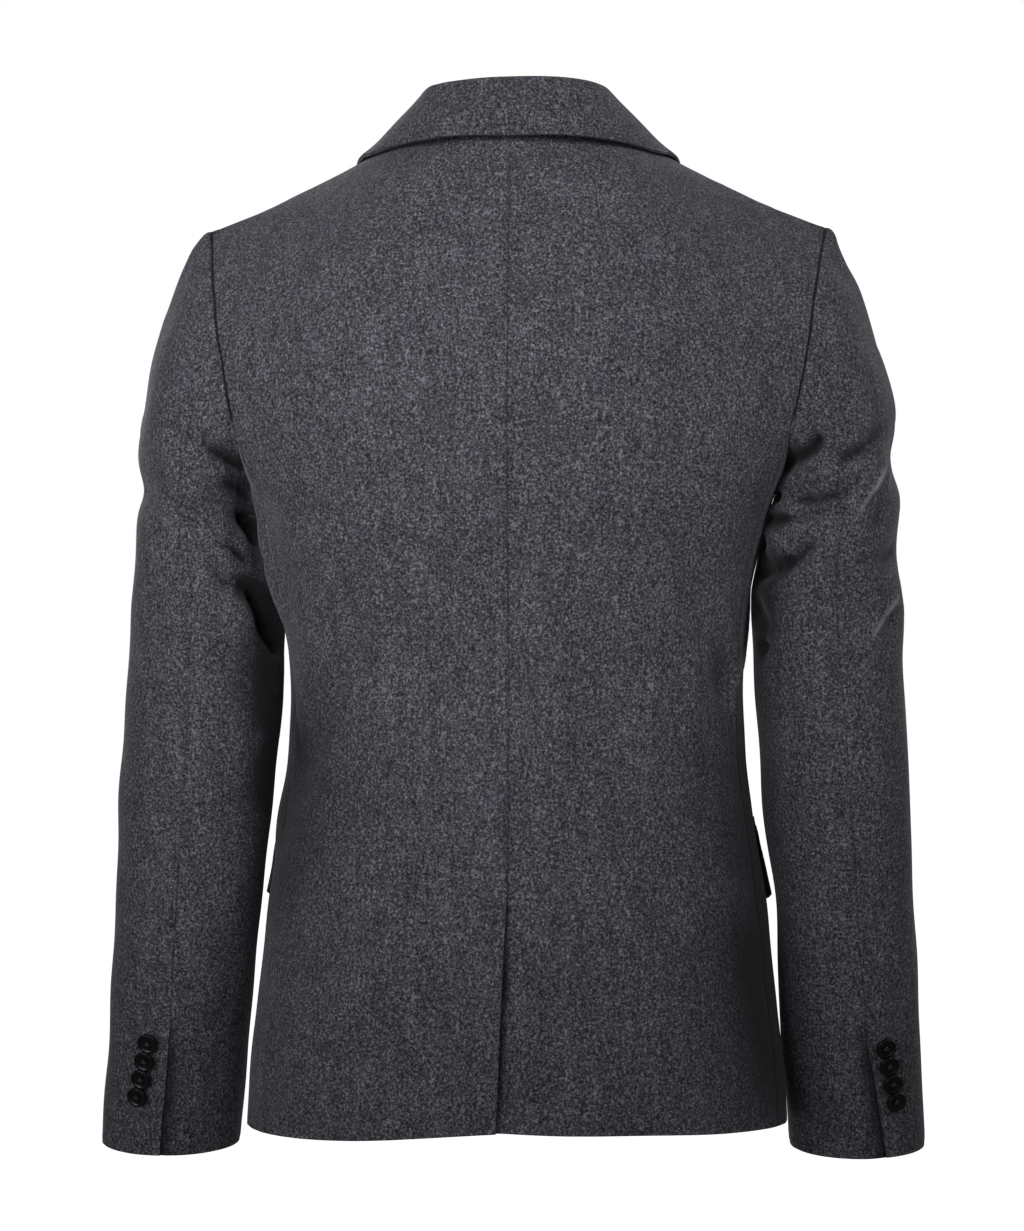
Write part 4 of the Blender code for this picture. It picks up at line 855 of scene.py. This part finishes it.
def button(radius, thickness):
    """A button at the origin, its face towards +Z."""
    bpy.ops.object.select_all(action="DESELECT")
    bpy.ops.mesh.primitive_cylinder_add(vertices=ROUND_SIDES, radius=radius, depth=thickness)
    disc = bpy.context.object
    bpy.ops.object.mode_set(mode="EDIT")
    bpy.ops.mesh.select_mode(type="FACE")
    bpy.ops.mesh.select_all(action="DESELECT")
    wall = bmesh.from_edit_mesh(disc.data)
    for face in wall.faces:
        face.select = face.normal.z > 0.9
    bmesh.update_edit_mesh(disc.data)
    bpy.ops.mesh.inset(thickness=radius * RIM_SHARE)
    bpy.ops.mesh.inset(thickness=radius * SLOPE_SHARE, depth=-thickness * DISH_SHARE)
    bpy.ops.mesh.select_all(action="DESELECT")
    wall = bmesh.from_edit_mesh(disc.data)
    for face in wall.faces:
        face.select = face.normal.z < -0.9
    bmesh.update_edit_mesh(disc.data)
    bpy.ops.mesh.inset(thickness=radius * FOOT_SHARE, depth=0.0)
    bpy.ops.object.mode_set(mode="OBJECT")
    bevel = disc.modifiers.new("round", "BEVEL")
    bevel.width = thickness * EDGE_SHARE
    bevel.segments = 3
    bevel.limit_method = "ANGLE"
    bevel.angle_limit = EDGE_ANGLE
    bpy.ops.object.modifier_apply(modifier="round")
    for turn in range(4):
        angle = math.radians(45 + 90 * turn)
        spot = Vector((math.cos(angle), math.sin(angle), 0)) * radius * HOLE_PLACE
        bpy.ops.mesh.primitive_cylinder_add(
            vertices=16, radius=radius * HOLE_SHARE, depth=thickness * 3, location=spot
        )
        drill = bpy.context.object
        only(disc)
        cut = disc.modifiers.new("hole", "BOOLEAN")
        cut.operation = "DIFFERENCE"
        cut.object = drill
        cut.solver = "EXACT"
        bpy.ops.object.modifier_apply(modifier="hole")
        bpy.data.objects.remove(drill)
    disc.data.materials.clear()
    disc.data.materials.append(black_button)
    disc.data.materials.append(black_thread)
    bpy.ops.object.shade_smooth_by_angle(angle=SMOOTH_ANGLE)
    stitches = []
    strand_radius = radius * THREAD_SHARE
    span = radius * HOLE_PLACE * math.sqrt(2)
    face_level = thickness * (0.5 - DISH_SHARE)
    for turn in range(2):
        angle = math.radians(90 * turn)
        for step in (-1, 1):
            beside = Vector((math.cos(angle), math.sin(angle), 0)) * strand_radius * 0.6 * step
            above = Vector((0, 0, face_level + strand_radius * (0.6 + turn)))
            bpy.ops.mesh.primitive_cylinder_add(
                vertices=10,
                radius=strand_radius,
                depth=span * THREAD_OVERRUN,
                location=beside + above,
                rotation=(math.pi / 2, 0, angle),
            )
            strand = bpy.context.object
            strand.data.materials.append(black_thread)
            bpy.ops.object.transform_apply(location=True, rotation=True)
            stitches.append(strand)
    for strand in stitches:
        for face in strand.data.polygons:
            face.use_smooth = True
    bpy.ops.object.select_all(action="DESELECT")
    for strand in stitches:
        strand.select_set(True)
    disc.select_set(True)
    bpy.context.view_layer.objects.active = disc
    bpy.ops.object.join()
    return disc


def seat(disc, node, outwards):
    """A copy of the button where a node holds it, facing away from the cloth."""
    points = np.array([tuple(vertex.co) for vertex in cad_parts[node].data.vertices])
    shifted = points - points.mean(0)
    flat = np.linalg.svd(shifted, full_matrices=False)[2][2]
    levels = shifted @ flat
    middle = points.mean(0) + flat * (levels.max() + levels.min()) / 2
    if flat @ np.array(outwards(points.mean(0))) < 0:
        flat = -flat
    normal = Vector(flat)
    up = (Vector((0, 0, 1)) - normal * normal.z).normalized()
    turn = Matrix([up.cross(normal), up, normal]).transposed().to_4x4()
    piece = bpy.data.objects.new(node + "_turned", disc.data.copy())
    bpy.context.scene.collection.objects.link(piece)
    piece.data.transform(Matrix.Translation(middle) @ turn)
    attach(piece, "root")
    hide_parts(node)


def forwards(place):
    return (0, -1, 0)


front_button = button(10.0 * MM, 3.6 * MM)
for number in (1, 2):
    seat(front_button, f"front_button_{number}", forwards)
bpy.data.objects.remove(front_button)

cuff_button = button(7.5 * MM, 2.6 * MM)
for side, sign in SIDES.items():
    axis = arm_axis(side)

    def from_arm(place):
        return (*(place[:2] - axis(np.array([place[2]]))[0]), 0)

    for number in range(1, 5):
        seat(cuff_button, f"cuff_button_{side}_{number}", from_arm)
bpy.data.objects.remove(cuff_button)

# ------------------------------------------------------------------ buttonholes
# A level slit in the left front for each button, its edges sewn over with black twist. The
# button sits at the end nearest the front edge.

HOLE_HALF = 11.0 * MM
HOLE_GAPE = 0.9 * MM
TWIST = 0.8 * MM
TWIST_STANDS = 0.2 * MM  # how far the stitching is lifted off the cloth
HOLE_MIDDLE = 8.5 * MM
BEFORE_CHEST = -0.5

cut_front = bpy.data.objects["front_left_cloth"]
for number in (1, 2):
    bpy.ops.object.select_all(action="DESELECT")
    bpy.ops.mesh.primitive_torus_add(
        major_segments=72, minor_segments=12, major_radius=HOLE_HALF, minor_radius=TWIST
    )
    edge = bpy.context.object
    edge.name = f"buttonhole_{number}"
    edge.data.materials.append(black_thread)
    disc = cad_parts[f"front_button_{number}"]
    points = read_points(edge)
    around = np.hypot(points[:, 0], points[:, 1])
    points[:, 1] *= 1 - (HOLE_HALF - HOLE_GAPE) / around
    points[:, 0] += HOLE_MIDDLE
    points[:, 1] += read_points(disc)[:, 2].mean()
    for index, (across, height, raised) in enumerate(points):
        surface = cut_front.ray_cast((across, BEFORE_CHEST, height), (0, 1, 0))[1]
        points[index] = (across, surface.y - TWIST_STANDS - raised, height)
    write_points(edge, points)
    bpy.ops.object.mode_set(mode="EDIT")
    bpy.ops.mesh.select_all(action="SELECT")
    bpy.ops.mesh.normals_make_consistent(inside=False)
    bpy.ops.object.mode_set(mode="OBJECT")
    bpy.ops.object.shade_smooth()
    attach(edge, "root")

# ------------------------------------------------------------------ floor, light and camera
# A white floor far below the jacket, as below a standing wearer, and soft lamps: four behind
# it, the strongest from above on either side, and two wide ones for the front.

FLOOR = -1.5
SURROUND = 0.075  # light that reaches the cloth from the room, against the white that is seen

bpy.ops.mesh.primitive_plane_add(size=60, location=(0, 0, FLOOR))
floor = bpy.context.object
floor.name = "floor"
floor.visible_diffuse = False
floor.visible_glossy = False
paper = Finish("white_floor")
flecks = paper.noise(paper.add("TexCoord", {}, {}, "Object"), 40.0)
pale = paper.blend(flecks, (0.92, 0.92, 0.92, 1.0), (0.95, 0.95, 0.95, 1.0))
values = {
    "Base Color": pale,
    "Roughness": 0.9,
    "Emission Color": (1.0, 1.0, 1.0, 1.0),
    "Emission Strength": 1.0,
}
floor.data.materials.append(paper.done(paper.add("BsdfPrincipled", {}, values)))

studio = bpy.data.worlds.new("studio")
bpy.context.scene.world = studio
studio.use_nodes = True
air = studio.node_tree
seen = air.nodes.new("ShaderNodeLightPath").outputs["Is Camera Ray"]
strength = air.nodes.new("ShaderNodeMapRange")
strength.inputs["To Min"].default_value = SURROUND
strength.inputs["To Max"].default_value = 1.0
air.links.new(seen, strength.inputs["Value"])
air.links.new(strength.outputs["Result"], air.nodes["Background"].inputs["Strength"])
air.nodes["Background"].inputs["Color"].default_value = (1.0, 1.0, 1.0, 1.0)

Lamp = namedtuple("Lamp", "name place aim size spread power")
LAMPS = (
    Lamp("key", (0.5, 1.3, 0.2), (0.1, 0, -0.15), 0.8, 40, 1.66),
    Lamp("low", (1.2, 1.6, -0.55), (0.24, 0, -0.52), 0.8, 60, 1.3),
    Lamp("far", (-1.6, 1.3, 0.8), (-0.2, 0, -0.14), 0.8, 42, 1.6),
    Lamp("near", (0.2, 2.3, -0.65), (0.05, 0, -0.5), 1.0, 60, 0.9),
    Lamp("front_left", (1.3, -2.2, 0.5), (0, 0, -0.3), 1.2, 180, 30.0),
    Lamp("front_right", (-1.4, -2.0, 0.3), (0, 0, -0.3), 1.2, 180, 18.0),
)

for lamp in LAMPS:
    light = bpy.data.lights.new(lamp.name, "AREA")
    light.shape = "DISK"
    light.size = lamp.size
    light.spread = math.radians(lamp.spread)
    light.energy = lamp.power
    stand = bpy.data.objects.new(lamp.name, light)
    stand.location = lamp.place
    towards = Vector(lamp.aim) - stand.location
    stand.rotation_euler = towards.to_track_quat("-Z", "Y").to_euler()
    stand.visible_camera = False
    bpy.context.scene.collection.objects.link(stand)

VIEW_HEIGHT = -0.339
VIEW_DISTANCE = 2.4
VIEW_TURN = math.radians(3.4)
FRAME_WIDTH = 1024
FRAME_HEIGHT = 1231
PIXELS_AT_ONE_METRE = 3404  # what one metre takes up when it is one metre away
MIDDLE_PIXEL = 517  # the column that the jacket's middle falls on
SENSOR = 36.0

camera_data = bpy.data.cameras.new("camera")
camera_data.sensor_width = SENSOR
camera_data.lens = PIXELS_AT_ONE_METRE / FRAME_HEIGHT * SENSOR
camera_data.shift_x = -(MIDDLE_PIXEL - FRAME_WIDTH / 2) / FRAME_HEIGHT
camera = bpy.data.objects.new("camera", camera_data)
aim = Vector((0, 0, VIEW_HEIGHT))
camera.location = aim + VIEW_DISTANCE * Vector((-math.sin(VIEW_TURN), math.cos(VIEW_TURN), 0))
camera.rotation_euler = (aim - camera.location).to_track_quat("-Z", "Y").to_euler()
bpy.context.scene.collection.objects.link(camera)
bpy.context.scene.camera = camera
bpy.context.scene.view_settings.view_transform = "Standard"

bpy.context.view_layer.update()
